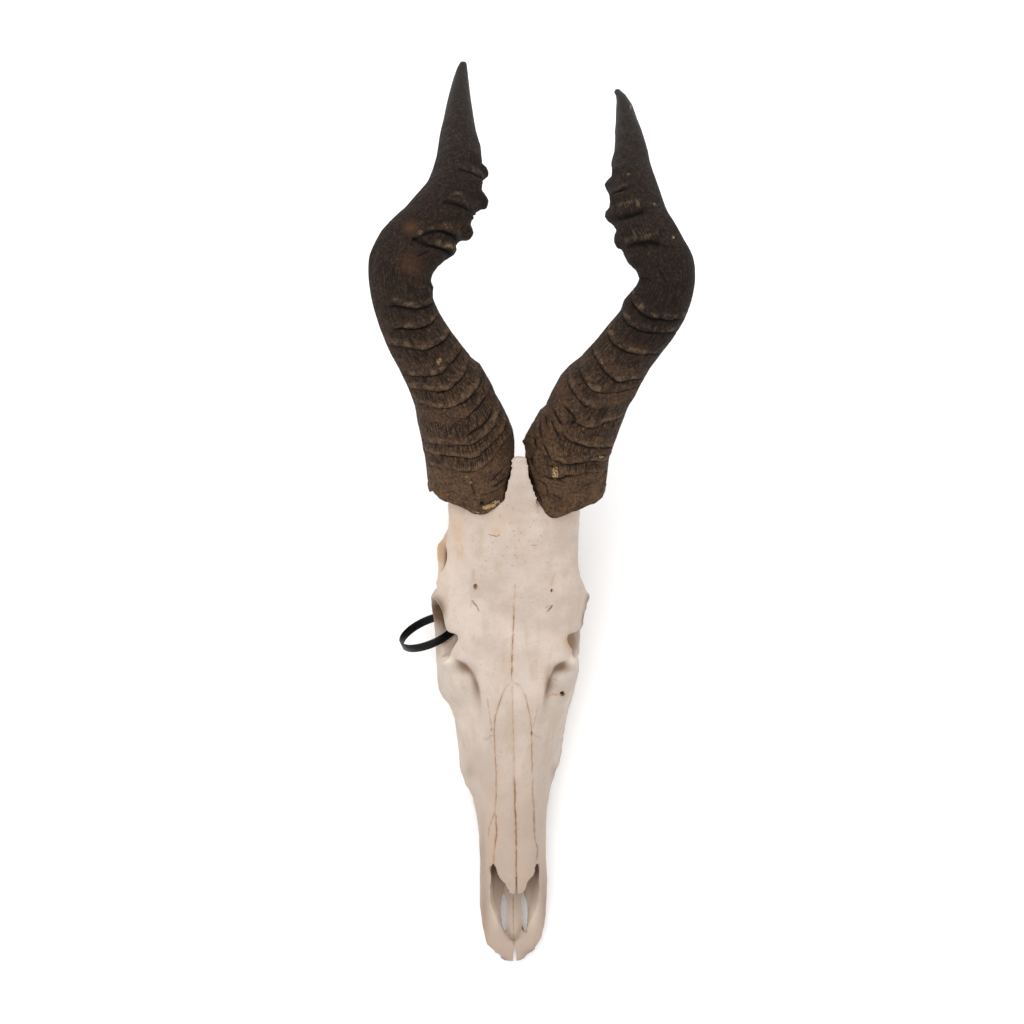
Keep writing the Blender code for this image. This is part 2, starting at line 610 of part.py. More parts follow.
for side, word in ((-1, "left"), (1, "right")):
    sockets = []
    for name, long, wide, x, y in TEETH:
        full = "{}_{}".format(name, word)
        outline = MOLAR_OUTLINE if name.startswith("molar") else PREMOLAR_OUTLINE
        made = tooth(full, outline, long - 0.8, wide, side * x, y, 0.0, 0.0, TOOTH_TOP)
        lean(made)
        pieces[full] = finish(made, full, (0.72, 0.66, 0.53), 0.35)
        hole = tooth("socket", outline, long - 0.8, wide, side * x, y, GAP + 0.1, -4.0, TOOTH_TOP + GAP)
        lean(hole)
        sockets.append(hole)
    combine(cranium, gathered("sockets", sockets), "DIFFERENCE")
pieces["cranium"] = finish(cranium, "cranium", (0.68, 0.57, 0.47), 0.55)


# Cable tie: a flat nylon strap bent into a loop round the lower bar of the left socket
TIE_LONG_WAY = (0.91, 0.41, 0.0)
TIE_SHORT_WAY = (0.164, -0.364, 0.917)


def cable_tie():
    centre = Vector(TIE_CENTRE)
    long_way = Vector(TIE_LONG_WAY).normalized()
    short_way = Vector(TIE_SHORT_WAY).normalized()
    width_way = long_way.cross(short_way).normalized()
    rings = []
    for i in range(TIE_STEPS):
        angle = 2 * math.pi * i / TIE_STEPS
        out = long_way * math.cos(angle) + short_way * math.sin(angle)
        middle = centre + long_way * TIE_RADII[0] * math.cos(angle)
        middle = middle + short_way * TIE_RADII[1] * math.sin(angle)
        thick = out * TIE_THICKNESS / 2
        wide = width_way * TIE_WIDTH / 2
        rings.append([middle + thick + wide, middle + thick - wide,
                      middle - thick - wide, middle - thick + wide])
    return hoop("cable_tie", rings)


pieces["cable_tie"] = finish(cable_tie(), "cable_tie", (0.012, 0.012, 0.013), 0.4)

# The middle of the object's box goes over the origin, on the surface
bpy.context.view_layer.update()
corners = np.array([vertex.co for thing in pieces.values() for vertex in thing.data.vertices])
low, high = corners.min(axis=0), corners.max(axis=0)
shift = Matrix.Translation((-(low[0] + high[0]) / 2, -(low[1] + high[1]) / 2, -low[2]))
for thing in pieces.values():
    thing.data.transform(shift)
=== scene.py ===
"""Hartebeest skull with its horn sheaths, lying face up and seen from above."""
import math

import bmesh
import bpy
import numpy as np
from mathutils import Matrix, Vector, bvhtree, kdtree, noise


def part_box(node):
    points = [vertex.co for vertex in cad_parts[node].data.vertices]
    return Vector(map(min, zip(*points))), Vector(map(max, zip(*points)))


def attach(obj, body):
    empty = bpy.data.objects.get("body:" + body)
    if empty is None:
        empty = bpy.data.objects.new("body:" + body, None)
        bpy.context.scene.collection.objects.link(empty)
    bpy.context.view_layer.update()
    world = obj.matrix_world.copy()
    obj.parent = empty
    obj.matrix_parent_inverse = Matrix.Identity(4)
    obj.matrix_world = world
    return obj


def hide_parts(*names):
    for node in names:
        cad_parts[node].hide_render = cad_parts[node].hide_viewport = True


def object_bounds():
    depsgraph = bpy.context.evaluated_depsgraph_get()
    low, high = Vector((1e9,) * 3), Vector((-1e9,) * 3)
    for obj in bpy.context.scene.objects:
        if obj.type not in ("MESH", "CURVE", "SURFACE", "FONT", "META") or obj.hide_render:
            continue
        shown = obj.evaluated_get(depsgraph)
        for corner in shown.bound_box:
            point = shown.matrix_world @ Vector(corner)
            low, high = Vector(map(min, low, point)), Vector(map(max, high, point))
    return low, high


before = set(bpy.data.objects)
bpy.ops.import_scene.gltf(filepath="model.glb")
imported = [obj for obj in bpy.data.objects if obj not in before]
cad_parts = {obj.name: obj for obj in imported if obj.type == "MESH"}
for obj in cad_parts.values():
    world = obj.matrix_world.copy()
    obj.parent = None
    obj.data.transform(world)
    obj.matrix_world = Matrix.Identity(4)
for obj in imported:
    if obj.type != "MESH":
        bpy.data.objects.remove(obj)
solid_low, solid_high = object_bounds()

# CRANIUM
# One piece of sun-bleached bone: the skull of an antelope without its lower jaw. It grew
# from plates that meet in seams. Sizes are millimetres: x from the midline of the
# braincase, y from the tip of the nose, z from the surface that the skull lies on.
MM = 0.001
TIE_MIDDLE = Vector((-71.8, 303.0, 62.4))
tie_low, tie_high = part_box("cable_tie")
SKULL_PLACE = (tie_low + tie_high) / 2 - TIE_MIDDLE * MM
# How the skull lies in the photograph: the middle of the picture in pixels, the point on the
# skull's midline that falls on it, the width of a pixel on the surface below, the height
# of the eye over that surface and how far a high place slides to the right
PHOTO_MIDDLE = 512
AIM_Y = 410
AIM_Z = 100
PIXEL = 0.917
EYE_HEIGHT = 2500
SLIDE = 0.0595


def in_photo(points):
    """Where points of the skull fall in the photograph, in its pixels."""
    points = np.asarray(points, float)
    scale = PIXEL * (1 - points[..., 2] / EYE_HEIGHT)
    across = PHOTO_MIDDLE + points[..., 0] / scale + (points[..., 2] - AIM_Z) * SLIDE
    down = PHOTO_MIDDLE - (points[..., 1] - AIM_Y) / scale
    return np.stack((across, down), -1)


def from_photo(spots, height):
    """Points at one height on the skull that fall on pixels of the photograph."""
    spots = np.asarray(spots, float)
    scale = PIXEL * (1 - height / EYE_HEIGHT)
    x = (spots[..., 0] - PHOTO_MIDDLE - (height - AIM_Z) * SLIDE) * scale
    y = AIM_Y - (spots[..., 1] - PHOTO_MIDDLE) * scale
    return np.stack((x, y, np.full(x.shape, float(height))), -1)


def smooth_line(knots, values, at):
    """Read a smooth line through one row of values at each knot."""
    knots = np.asarray(knots, float)
    values = np.asarray(values, float)
    at = np.clip(np.atleast_1d(np.asarray(at, float)), knots[0], knots[-1])
    slopes = np.gradient(values, knots, axis=0)
    span = np.clip(np.searchsorted(knots, at, side="right") - 1, 0, len(knots) - 2)
    width = knots[span + 1] - knots[span]
    t = (at - knots[span]) / width
    tail = (1,) * (values.ndim - 1)
    t = t.reshape((-1,) + tail)
    width = width.reshape((-1,) + tail)
    start = (2 * t ** 3 - 3 * t ** 2 + 1) * values[span]
    leave = (t ** 3 - 2 * t ** 2 + t) * width * slopes[span]
    end = (3 * t ** 2 - 2 * t ** 3) * values[span + 1]
    arrive = (t ** 3 - t ** 2) * width * slopes[span + 1]
    return start + leave + end + arrive


def rounded_outline(points, per_span):
    """Closed smooth outline through the points."""
    here = np.asarray(points, float)
    before = np.roll(here, 1, 0)
    after = np.roll(here, -1, 0)
    later = np.roll(here, -2, 0)
    steps = []
    for t in np.arange(per_span) / per_span:
        bend = (2 * before - 5 * here + 4 * after - later) * t ** 2
        twist = (3 * here - before - 3 * after + later) * t ** 3
        steps.append(here + 0.5 * ((after - before) * t + bend + twist))
    return np.stack(steps, 1).reshape(-1, here.shape[1])


def skin_over(name, rows, closed=False):
    """Skin over rows of points, closed at both ends or led back to its start."""
    rows = np.asarray(rows, float)
    count, around = rows.shape[:2]
    number = np.arange(count * around).reshape(count, around)
    here = number if closed else number[:-1]
    there = np.roll(number, -1, 0) if closed else number[1:]
    quads = np.stack((here, np.roll(here, -1, 1), np.roll(there, -1, 1), there), -1)
    faces = quads.reshape(-1, 4).tolist()
    if not closed:
        faces += [number[0, ::-1].tolist(), number[-1].tolist()]
    mesh = bpy.data.meshes.new(name)
    mesh.from_pydata(rows.reshape(-1, 3).tolist(), [], faces)
    shape = bmesh.new()
    shape.from_mesh(mesh)
    bmesh.ops.recalc_face_normals(shape, faces=shape.faces)
    shape.to_mesh(mesh)
    shape.free()
    made = bpy.data.objects.new(name, mesh)
    bpy.context.scene.collection.objects.link(made)
    return made


def bone_form(name, table, spacing=2.5, per_span=6):
    """Bone from half outlines (x, z), top to bottom, one for each y, mirrored."""
    stations = [row[0] for row in table]
    halves = np.array([row[1] for row in table], float)
    at = np.linspace(stations[0], stations[-1], int((stations[-1] - stations[0]) / spacing) + 2)
    rows = []
    for y, half in zip(at, smooth_line(stations, halves, at)):
        outline = rounded_outline(np.vstack((half, half[-2:0:-1] * (-1, 1))), per_span)
        rows.append(np.insert(outline, 1, y, 1))
    return skin_over(name, rows)


def bone_bar(name, points, radii, up, sides=24, steps=10):
    """Rod of bone along a smooth line, with an oval section at each point."""
    knots = range(len(points))
    at = np.linspace(0, len(points) - 1, (len(points) - 1) * steps + 1)
    centres = smooth_line(knots, points, at)
    ovals = smooth_line(knots, radii, at)
    along = np.gradient(centres, axis=0)
    along /= np.linalg.norm(along, axis=1)[:, None]
    side = np.cross(along, up)
    side /= np.linalg.norm(side, axis=1)[:, None]
    above = np.cross(side, along)
    angle = np.arange(sides) * 2 * math.pi / sides
    rows = centres[:, None] + side[:, None] * (ovals[:, :1] * np.cos(angle))[..., None]
    rows = rows + above[:, None] * (ovals[:, 1:] * np.sin(angle))[..., None]
    return skin_over(name, rows)


def bone_knob(name, centre, radii, turn=None):
    """Oval knob, turned about its centre where a rotation is given."""
    shape = bmesh.new()
    bmesh.ops.create_uvsphere(shape, u_segments=40, v_segments=24, radius=1.0)
    spin = turn.to_4x4() if turn else Matrix.Identity(4)
    place = Matrix.Translation(Vector(centre)) @ spin @ Matrix.Diagonal((*radii, 1.0))
    bmesh.ops.transform(shape, matrix=place, verts=shape.verts)
    mesh = bpy.data.meshes.new(name)
    shape.to_mesh(mesh)
    shape.free()
    made = bpy.data.objects.new(name, mesh)
    bpy.context.scene.collection.objects.link(made)
    return made


def gathered(name, things):
    """One object that holds the meshes of several, which are taken away."""
    shape = bmesh.new()
    for thing in things:
        shape.from_mesh(thing.data)
        bpy.data.objects.remove(thing, do_unlink=True)
    mesh = bpy.data.meshes.new(name)
    shape.to_mesh(mesh)
    shape.free()
    made = bpy.data.objects.new(name, mesh)
    bpy.context.scene.collection.objects.link(made)
    return made


def made_solid(thing):
    """Turn an object's modifiers into its mesh."""
    evaluated = thing.evaluated_get(bpy.context.evaluated_depsgraph_get())
    mesh = bpy.data.meshes.new_from_object(evaluated)
    thing.modifiers.clear()
    thing.data = mesh


def carve(thing, tool, operation="DIFFERENCE"):
    """Cut or join with a second closed form, which is then taken away."""
    modifier = thing.modifiers.new(operation.title(), "BOOLEAN")
    modifier.operation = operation
    modifier.solver = "MANIFOLD"
    modifier.object = tool
    made_solid(thing)
    bpy.data.objects.remove(tool, do_unlink=True)


def grown_together(thing, voxel, smoothing):
    """Melt overlapping forms into one skin and soften it."""
    remesh = thing.modifiers.new("Remesh", "REMESH")
    remesh.mode = "VOXEL"
    remesh.voxel_size = voxel
    soften = thing.modifiers.new("Soften", "SMOOTH")
    soften.factor = 0.5
    soften.iterations = smoothing
    made_solid(thing)


FACE = (
    (0, ((0, 15), (4, 15), (7, 14.5), (9, 13), (9, 11), (7, 9.5), (4, 9), (0, 9))),
    (10, ((0, 20), (9, 20), (17, 19.5), (22.5, 16.5), (22, 12.5), (17, 9), (9, 8), (0, 8))),
    (28, ((0, 23), (11, 23), (21, 25), (28.5, 20), (28, 14), (22, 9.5), (11, 9), (0, 10))),
    (54, ((0, 36), (13, 36), (23, 38), (31, 27), (30, 16), (23, 9.5), (12, 10), (0, 11.5))),
    (76, ((0, 54), (13, 54), (23, 54), (31, 36), (30, 20), (22, 10), (11, 11.5), (0, 13))),
    (97, ((0, 78), (12, 76.5), (20, 70), (31, 42), (29.5, 20), (21, 10.5), (10, 12.5), (0, 14))),
    (120, ((0, 86), (12, 85), (20, 79), (31.5, 50), (32, 26), (25, 12.5), (12, 14.5), (0, 16))),
    (145, ((0, 95), (12.5, 94), (20, 88), (33, 58), (36, 30), (32, 13), (17, 16), (0, 18))),
    (163, ((0, 100), (13, 99), (20, 93.5), (35, 64), (42.5, 36), (39.5, 13), (24, 14.5), (0, 19))),
    (190, ((0, 107), (13, 106.5), (20, 101), (37, 74), (46.5, 42), (42, 13), (27, 14.5), (0, 20))),
    (216, ((0, 114.5), (14, 114), (22, 109), (42, 82), (52, 52), (44, 16), (27, 14.5), (0, 20))),
    (245, ((0, 122), (15, 122), (28, 118), (49, 96), (59.5, 62), (46, 19), (27, 15), (0, 20))),
    (265, ((0, 127), (18, 127), (38, 123), (53, 111), (63, 74), (48, 42), (25, 24), (0, 24))),
    (282, ((0, 131), (22, 131), (44, 127), (57, 116), (63, 86), (46, 60), (19, 32), (0, 29))),
    (296, ((0, 135), (23, 135.5), (46, 131), (59, 120), (30, 97), (23, 63), (16, 34), (0, 31))),
    (310, ((0, 139), (24, 139.5), (48, 135), (61, 121), (28, 98), (22, 66), (15, 34), (0, 32))),
    (336, ((0, 148), (26, 148), (52, 141), (68, 121), (38, 100), (32, 66), (18, 36), (0, 33))),
    (345, ((0, 152), (26, 152), (50, 144.5), (65, 127), (44, 104), (41, 68), (20, 36), (0, 34))),
    (353, ((0, 155.5), (26, 155.5), (50, 148.5), (61.5, 132), (45, 106), (43, 69), (21, 36), (0, 34))),
    (365, ((0, 161), (26, 161.5), (49, 155), (57.5, 139), (46, 108), (46, 70), (24, 36), (0, 34))),
    (390, ((0, 173), (26, 174), (49, 168), (57.5, 152), (47, 116), (47, 72), (28, 38), (0, 34))),
    (408, ((0, 182), (26, 183), (48, 178), (56, 163), (47, 124), (43, 86), (30, 48), (0, 38))),
    (416, ((0, 186), (26, 187), (46, 181), (52, 166), (44, 132), (36, 100), (24, 62), (0, 52))),
)
HORN_SEAT = (
    (392, ((0, 173), (28, 174), (50, 167), (55, 150), (50, 128), (34, 112), (16, 106), (0, 106))),
    (415, ((0, 187), (28, 188), (49, 182), (56, 166), (50, 140), (36, 118), (16, 110), (0, 110))),
    (436, ((0, 197), (28, 197), (46, 190), (52, 175), (46, 150), (32, 132), (16, 124), (0, 122))),
    (450, ((0, 202), (24, 201), (38, 195), (42, 182), (38, 164), (26, 150), (12, 144), (0, 142))),
    (457, ((0, 205), (16, 203), (26, 197), (29, 188), (25, 177), (16, 168), (8, 165), (0, 164))),
)
BACK_OF_HEAD = (
    (384, ((0, 128), (20, 126), (36, 118), (46, 100), (50, 76), (46, 50), (24, 38), (0, 36))),
    (404, ((0, 126), (20, 124), (36, 115), (46, 98), (50, 76), (44, 54), (22, 40), (0, 37))),
    (418, ((0, 122), (16, 119), (28, 108), (36, 92), (37, 76), (30, 62), (16, 52), (0, 50))),
)
SKULL_BASE = (
    (318, ((0, 60), (12, 58), (16, 48), (16, 40), (13, 33), (6, 30), (0, 30))),
    (345, ((0, 60), (20, 58), (26, 48), (25, 38), (18, 30), (8, 27), (0, 27))),
    (372, ((0, 60), (24, 58), (32, 47), (33, 34), (24, 22), (9, 21), (0, 23))),
    (392, ((0, 60), (28, 56), (38, 44), (36, 28), (26, 14), (10, 16), (0, 19))),
    (408, ((0, 46), (18, 47), (29, 40), (29, 24), (22, 9), (9, 15), (0, 18))),
)
forms = [bone_form("face", FACE), bone_form("horn_seat", HORN_SEAT),
         bone_form("back_of_head", BACK_OF_HEAD), bone_form("skull_base", SKULL_BASE)]

# Eye sockets, cheek arches and the small knobs and wings of the underside
SOCKET_MIDDLE = (56.5, 306.0, 94.0)
SOCKET_SIZE = (26.0, 22.5)
SOCKET_LIP = (6.0, 4.6)
SOCKET_HOLLOW = (34.0, 22.8, 19.7)
ARCH = {
    -1: ((-52, 236, 54), (-59, 262, 60), (-63, 292, 64), (-63, 322, 67), (-55.5, 350, 66),
         (-58, 374, 64), (-48, 394, 64)),
    1: ((52, 236, 54), (58, 262, 60), (59.5, 292, 64), (59.5, 322, 67), (56, 350, 66),
        (54, 370, 64), (43, 388, 64)),
}
ARCH_RADII = ((9, 14), (7, 12), (4.5, 8.5), (4.2, 8), (4.8, 6), (5.5, 5), (7, 6))
BROW_BAR = ((60, 337, 124), (64, 337, 104), (63.5, 338, 84), (61, 336, 68))
BROW_BAR_RADII = ((7, 5), (6, 4.2), (5.5, 4), (6, 5))
NECK_PROCESS = ((42, 396, 66), (41, 394, 44), (39, 389, 20), (38, 386, -0.8))
NECK_PROCESS_RADII = ((9, 8), (7.5, 6), (5.5, 4), (4, 3))
WING = ((13, 262, 30), (14, 282, 24), (14, 300, 22), (13, 316, 34))
WING_RADII = ((3, 9), (2.6, 11), (2.4, 9), (3, 7))
PAIRED_KNOBS = (
    ("neck_joint", (18, 406, 20), (11.5, 14, 18.5)),
    ("ear_bulb", (27, 362, 29), (10, 15, 15)),
    ("socket_floor", (46, 288, 66), (15, 19, 12)),
)
TEAR_KNOBS = ((-57.5, 279.0, 92), (54.5, 280.0, 92))
TEAR_KNOB_SIZE = (6, 4.8, 7)


def socket_turn(side):
    """The socket looks outward, a little up and a little toward the nose."""
    return Matrix.Rotation(side * math.radians(-9), 3, "Z") @ Matrix.Rotation(
        side * math.radians(-10), 3, "Y")


LIP_STEPS = 72
LIP_SIDES = 18


def socket_lip(side):
    """The rounded margin that runs round an eye socket."""
    middle = np.array(SOCKET_MIDDLE) * (side, 1, 1)
    turn = np.array(socket_turn(side))
    angle = np.arange(LIP_STEPS)[:, None] * 2 * math.pi / LIP_STEPS
    around = np.arange(LIP_SIDES)[None] * 2 * math.pi / LIP_SIDES
    reach = SOCKET_LIP[0] * np.cos(around) + 0 * angle
    along = np.cos(angle) * (SOCKET_SIZE[0] + SOCKET_LIP[1] * np.sin(around))
    above = np.sin(angle) * (SOCKET_SIZE[1] + SOCKET_LIP[1] * np.sin(around))
    return skin_over("socket_lip", middle + np.stack((reach, along, above), -1) @ turn.T, True)


for side in (-1, 1):
    flip = (side, 1, 1)
    forms.append(bone_bar("arch", ARCH[side], ARCH_RADII, (0, 0, 1)))
    forms.append(bone_bar("brow_bar", np.array(BROW_BAR) * flip, BROW_BAR_RADII, (1, 0, 0)))
    forms.append(bone_bar("neck_process", np.array(NECK_PROCESS) * flip, NECK_PROCESS_RADII, (0, 1, 0)))
    forms.append(bone_bar("wing", np.array(WING) * flip, WING_RADII, (0, 0, 1)))
    forms.append(socket_lip(side))
    for name, (x, y, z), radii in PAIRED_KNOBS:
        forms.append(bone_knob(name, (side * x, y, z), radii))
for middle in TEAR_KNOBS:
    forms.append(bone_knob("tear_knob", middle, TEAR_KNOB_SIZE))
ROUGH_VOXEL = 2.2
FINAL_VOXEL = 2.05
cranium = gathered("skull_bone", forms)
grown_together(cranium, ROUGH_VOXEL, 3)

NOSE_HOLLOW = (
    (20, ((0, 60), (2, 60), (4, 40), (4, 20), (3, 14.5), (2, 14), (0, 14))),
    (30, ((0, 60), (6, 60), (10.5, 40), (9, 24), (5.5, 15), (3, 14), (0, 14))),
    (44, ((0, 70), (12, 70), (17.5, 50), (14.5, 27), (9.5, 16.5), (5, 14.5), (0, 14.5))),
    (60, ((0, 84), (16, 84), (21.3, 60), (17.5, 31), (11.5, 18), (6, 15), (0, 15))),
    (80, ((0, 96), (18, 96), (22.3, 74), (19, 37), (12, 20), (7, 16.5), (0, 16.5))),
    (96.5, ((0, 96), (16, 96), (19, 80), (20, 40), (15, 20), (8, 18), (0, 18))),
    (98, ((0, 74), (11, 73), (15.5, 67), (20, 40), (17, 22), (8, 19), (0, 19))),
    (101, ((0, 74.5), (11, 73.5), (15.5, 67.5), (20, 40), (17, 22), (8, 19), (0, 19))),
    (130, ((0, 80), (11, 79), (15.5, 73), (22, 44), (20, 26), (9, 22), (0, 22))),
    (165, ((0, 86), (11, 84), (15.5, 77), (22, 50), (20, 34), (9, 30), (0, 30))),
)
SOCKET_OUTWARD = 4
BROW_NOTCH = ((60, 296, 108), (60, 296, 150))
BROW_NOTCH_RADII = ((8.5, 7.5), (8.5, 7.5))
THROAT = ((0, 300, 26), (10.5, 42, 19))
NECK_OPENING = ((0, 420, 52), (14, 26, 13))
hollows = [bone_form("nose_hollow", NOSE_HOLLOW)]
for side in (-1, 1):
    flip = (side, 1, 1)
    middle = Vector((side * (SOCKET_MIDDLE[0] + SOCKET_OUTWARD), SOCKET_MIDDLE[1], SOCKET_MIDDLE[2]))
    hollows.append(bone_knob("socket", middle, SOCKET_HOLLOW, socket_turn(side)))
    notch = np.array(BROW_NOTCH) * flip
    hollows.append(bone_bar("brow_notch", notch, BROW_NOTCH_RADII, (0, 1, 0)))
hollows.append(bone_knob("throat", *THROAT))
hollows.append(bone_knob("neck_opening", *NECK_OPENING))
carve(cranium, gathered("hollows", hollows))

# The nasal bones end in two blunt points that stand free over the opening
NASAL_POINTS = (
    (70, ((0, 74.5), (3, 74), (6, 72.5), (6.6, 71.5), (5.6, 70.8), (3, 71), (0, 71.2))),
    (76, ((0, 77), (4, 76.6), (7.5, 75), (8.4, 73.6), (7, 72.6), (4, 73), (0, 73.5))),
    (84, ((0, 79), (7, 78.4), (12.5, 75), (14.2, 72), (12, 71), (7, 74), (0, 75))),
    (92, ((0, 80), (9, 79), (16, 74.5), (18, 70), (15.5, 69), (9, 74.5), (0, 76))),
    (104, ((0, 82), (10, 81), (17, 77), (19.5, 71), (16, 69), (9, 75), (0, 77))),
)
carve(cranium, bone_form("nasal_points", NASAL_POINTS), "UNION")

# The muzzle bends a little to one side on its way from the forehead to the nose
LEAN_Y = (0, 80, 115, 160, 200, 260, 330, 380, 460)
LEAN_X = (5.4, 5.3, 4.5, 2.8, 1.0, -1.0, -1.0, -1.8, 1.0)


def corners_of(mesh):
    """Places of a mesh's corners."""
    found = np.empty(len(mesh.vertices) * 3, np.float32)
    mesh.vertices.foreach_get("co", found)
    return found.reshape(-1, 3).astype(float)


def outward_of(mesh):
    """The way out of the surface at each corner."""
    found = np.empty(len(mesh.vertices) * 3, np.float32)
    mesh.vertex_normals.foreach_get("vector", found)
    return found.reshape(-1, 3).astype(float)


def put_corners(mesh, corners):
    """Set the places of a mesh's corners."""
    mesh.vertices.foreach_set("co", corners.astype(np.float32).ravel())
    mesh.update()


# Seen from above the tip of the nose is round
TIP_LENGTH = 10
TIP_HALF_WIDTH = 12
TIP_ROUNDING = 0.045
corners = corners_of(cranium.data)
across = np.clip(np.abs(corners[:, 0]), 0, TIP_HALF_WIDTH)
toward_tip = np.clip((TIP_LENGTH - corners[:, 1]) / TIP_LENGTH, 0, 1)
corners[:, 1] += toward_tip * TIP_ROUNDING * across ** 2
corners[:, 0] += smooth_line(LEAN_Y, LEAN_X, corners[:, 1])
put_corners(cranium.data, corners)

# Its outline is brought to the one in the photograph, row by row
LEFT_SIDE = ((447, 503), (448.5, 515), (448.5, 525), (447, 529), (440, 540), (436.8, 545), (437, 556),
             (438, 567), (437.5, 575), (435.4, 584), (433.3, 590), (430.1, 597), (430.8, 603),
             (432, 612), (433.5, 620), (434.5, 630), (435.2, 640), (436, 655), (436.6, 670),
             (437.2, 682), (438.5, 690), (442, 698), (447.7, 704), (454.3, 718.3), (457.6, 743),
             (459.1, 756.5), (460.1, 770), (464.9, 785.2), (471.6, 796.7), (476.3, 814), (478.3, 833),
             (479.6, 861.7), (479.8, 905.8), (482.1, 924.9), (485.9, 944), (490, 949), (495.5, 953.6),
             (502, 957.8))
RIGHT_SIDE = ((580, 509), (579.5, 520), (579, 540), (578.5, 555), (579, 565), (581, 575), (585, 585),
              (589, 593), (591, 596), (587.7, 604), (585.6, 612), (583.5, 621), (584.5, 624),
              (581.4, 629), (580.7, 635), (580, 646), (579, 660), (579.3, 669), (577.2, 682),
              (573.7, 696), (567.2, 718.3), (562.4, 747), (559.6, 764.2), (554.8, 777.6), (551, 789),
              (548.1, 804.4), (546.6, 823.5), (545.6, 842.6), (545.8, 861.7), (547.1, 880.9),
              (547.1, 900), (545.2, 921.1), (541.4, 938.3), (538, 945.5), (533.7, 951.7), (527, 957))
OUTLINE_ROWS = np.arange(506.0, 958.0, 3.0)
ROW_REACH = 2.6
FACE_PIXEL = 0.88


def across_at_rows(line):
    """A drawn line as its rows of the photograph and its place across in each."""
    return [down for across, down in line], [across for across, down in line]


def middle_of_rows(spots, middle):
    """The rows of the photograph and where the midline of the skull crosses them."""
    order = np.argsort(spots[:, 1])[::40]
    return spots[order, 1], middle[order]


def brought_to_outline(mesh):
    """Move the corners sideways until the outline seen from above is the traced one."""
    corners = corners_of(mesh)
    spots = in_photo(corners)
    middle = PHOTO_MIDDLE + smooth_line(LEAN_Y, LEAN_X, corners[:, 1]) / FACE_PIXEL
    fade = np.clip((spots[:, 1] - 480) / 25, 0, 1) * np.clip((962 - spots[:, 1]) / 5, 0, 1)
    for side, traced in ((-1, LEFT_SIDE), (1, RIGHT_SIDE)):
        reach = side * (spots[:, 0] - middle)
        found = [reach[np.abs(spots[:, 1] - row) < ROW_REACH].max() for row in OUTLINE_ROWS]
        wanted = side * (np.interp(OUTLINE_ROWS, *across_at_rows(traced))
                         - np.interp(OUTLINE_ROWS, *middle_of_rows(spots, middle)))
        change = np.interp(spots[:, 1], OUTLINE_ROWS, wanted - found)
        far = np.clip(reach / np.interp(spots[:, 1], OUTLINE_ROWS, found), 0, 1)
        corners[:, 0] += side * change * far ** 2 * fade * PIXEL * (1 - corners[:, 2] / EYE_HEIGHT)
    put_corners(mesh, corners)


brought_to_outline(cranium.data)
brought_to_outline(cranium.data)

# The brow ends in a thin margin over each eye socket, notched toward the nose. Outlines
# are pixels of the photograph, and each cut follows the line of sight through them.
LEFT_MARGIN = ((420, 596), (431, 597), (437, 600), (440, 606), (443, 612), (444.5, 620), (446.5, 629),
               (450, 632), (457, 634), (458.5, 638), (456, 643), (451.5, 651), (450, 657), (446, 660),
               (436, 662), (420, 662))
RIGHT_MARGIN = ((602, 596), (590.5, 597), (587.7, 604), (585.6, 612), (583.2, 620), (584.2, 624),
                (581.4, 628.4), (575, 632.6), (568.7, 634), (566.6, 638.9), (568.7, 644.5),
                (572.3, 650.9), (572, 656), (576, 661), (602, 662))


def sight_cut(name, outline, low, high, per_span=3):
    """Cutter along the line of sight, through an outline drawn on the photograph."""
    outline = rounded_outline(outline, per_span) if per_span > 1 else outline
    return skin_over(name, [from_photo(outline, height) for height in (low, high)])


margins = [sight_cut("margin", outline, 97, 175) for outline in (LEFT_MARGIN, RIGHT_MARGIN)]
carve(cranium, gathered("margins", margins))

# Horn sheaths: middle line from base to tip and half width, then the depth of the base
LEFT_HORN = (
    (-40.4, 435.6, 165, 37.2), (-42.7, 469.3, 191, 37.9), (-54.8, 503.8, 216, 33.4),
    (-74.6, 537.7, 239, 26.6), (-94.4, 569.6, 257, 24.8), (-101.5, 600.2, 265, 26.2),
    (-93.6, 625, 263, 26.2), (-75.0, 649.1, 252, 25.0), (-58.0, 673.4, 235, 23.4),
    (-51.4, 700, 215, 20), (-50.3, 733.7, 190, 14.6), (-47.9, 768, 165, 9.2),
    (-44.6, 796, 145.6, 3.2),
)
RIGHT_HORN = (
    (42.0, 435.6, 165, 34.5), (43.0, 469.3, 191, 36.8), (60.2, 503.8, 216, 30.4),
    (71.6, 521.5, 228, 29.6), (84.2, 539.5, 240, 26.2), (105.6, 569.6, 257, 25.4),
    (119.2, 600.2, 265, 27.4), (111.2, 625, 263, 26.6), (100.6, 649.1, 252, 24.8),
    (96.4, 673.4, 235, 22.4), (93.6, 700, 215, 16.6), (94.4, 729.2, 192, 12.6),
    (91.3, 757.8, 170, 7.6), (87.6, 771, 160, 3.0),
)
BASE_DEPTH = 1.07
BASE_LENGTH = 120.0
HORN_CORE = 24.5
HORN_CORE_TAPER = 0.72
HORN_SOCKET = 20.0
HORN_ROOM = 2.0
ROOM_STATIONS = (-1.8, 4, 12, 25, 40, 55)
ROOM_SIDES = 40


def horn_line(points):
    """Middle line and half width against the length from the base."""
    table = np.array(points, float)
    fine = smooth_line(range(len(table)), table, np.linspace(0, len(table) - 1, 600))
    steps = np.linalg.norm(np.diff(fine[:, :3], axis=0), axis=1)
    return np.concatenate(([0.0], np.cumsum(steps))), fine


def unit(vectors):
    """The same directions with a length of one."""
    return vectors / np.linalg.norm(vectors, axis=-1, keepdims=True)


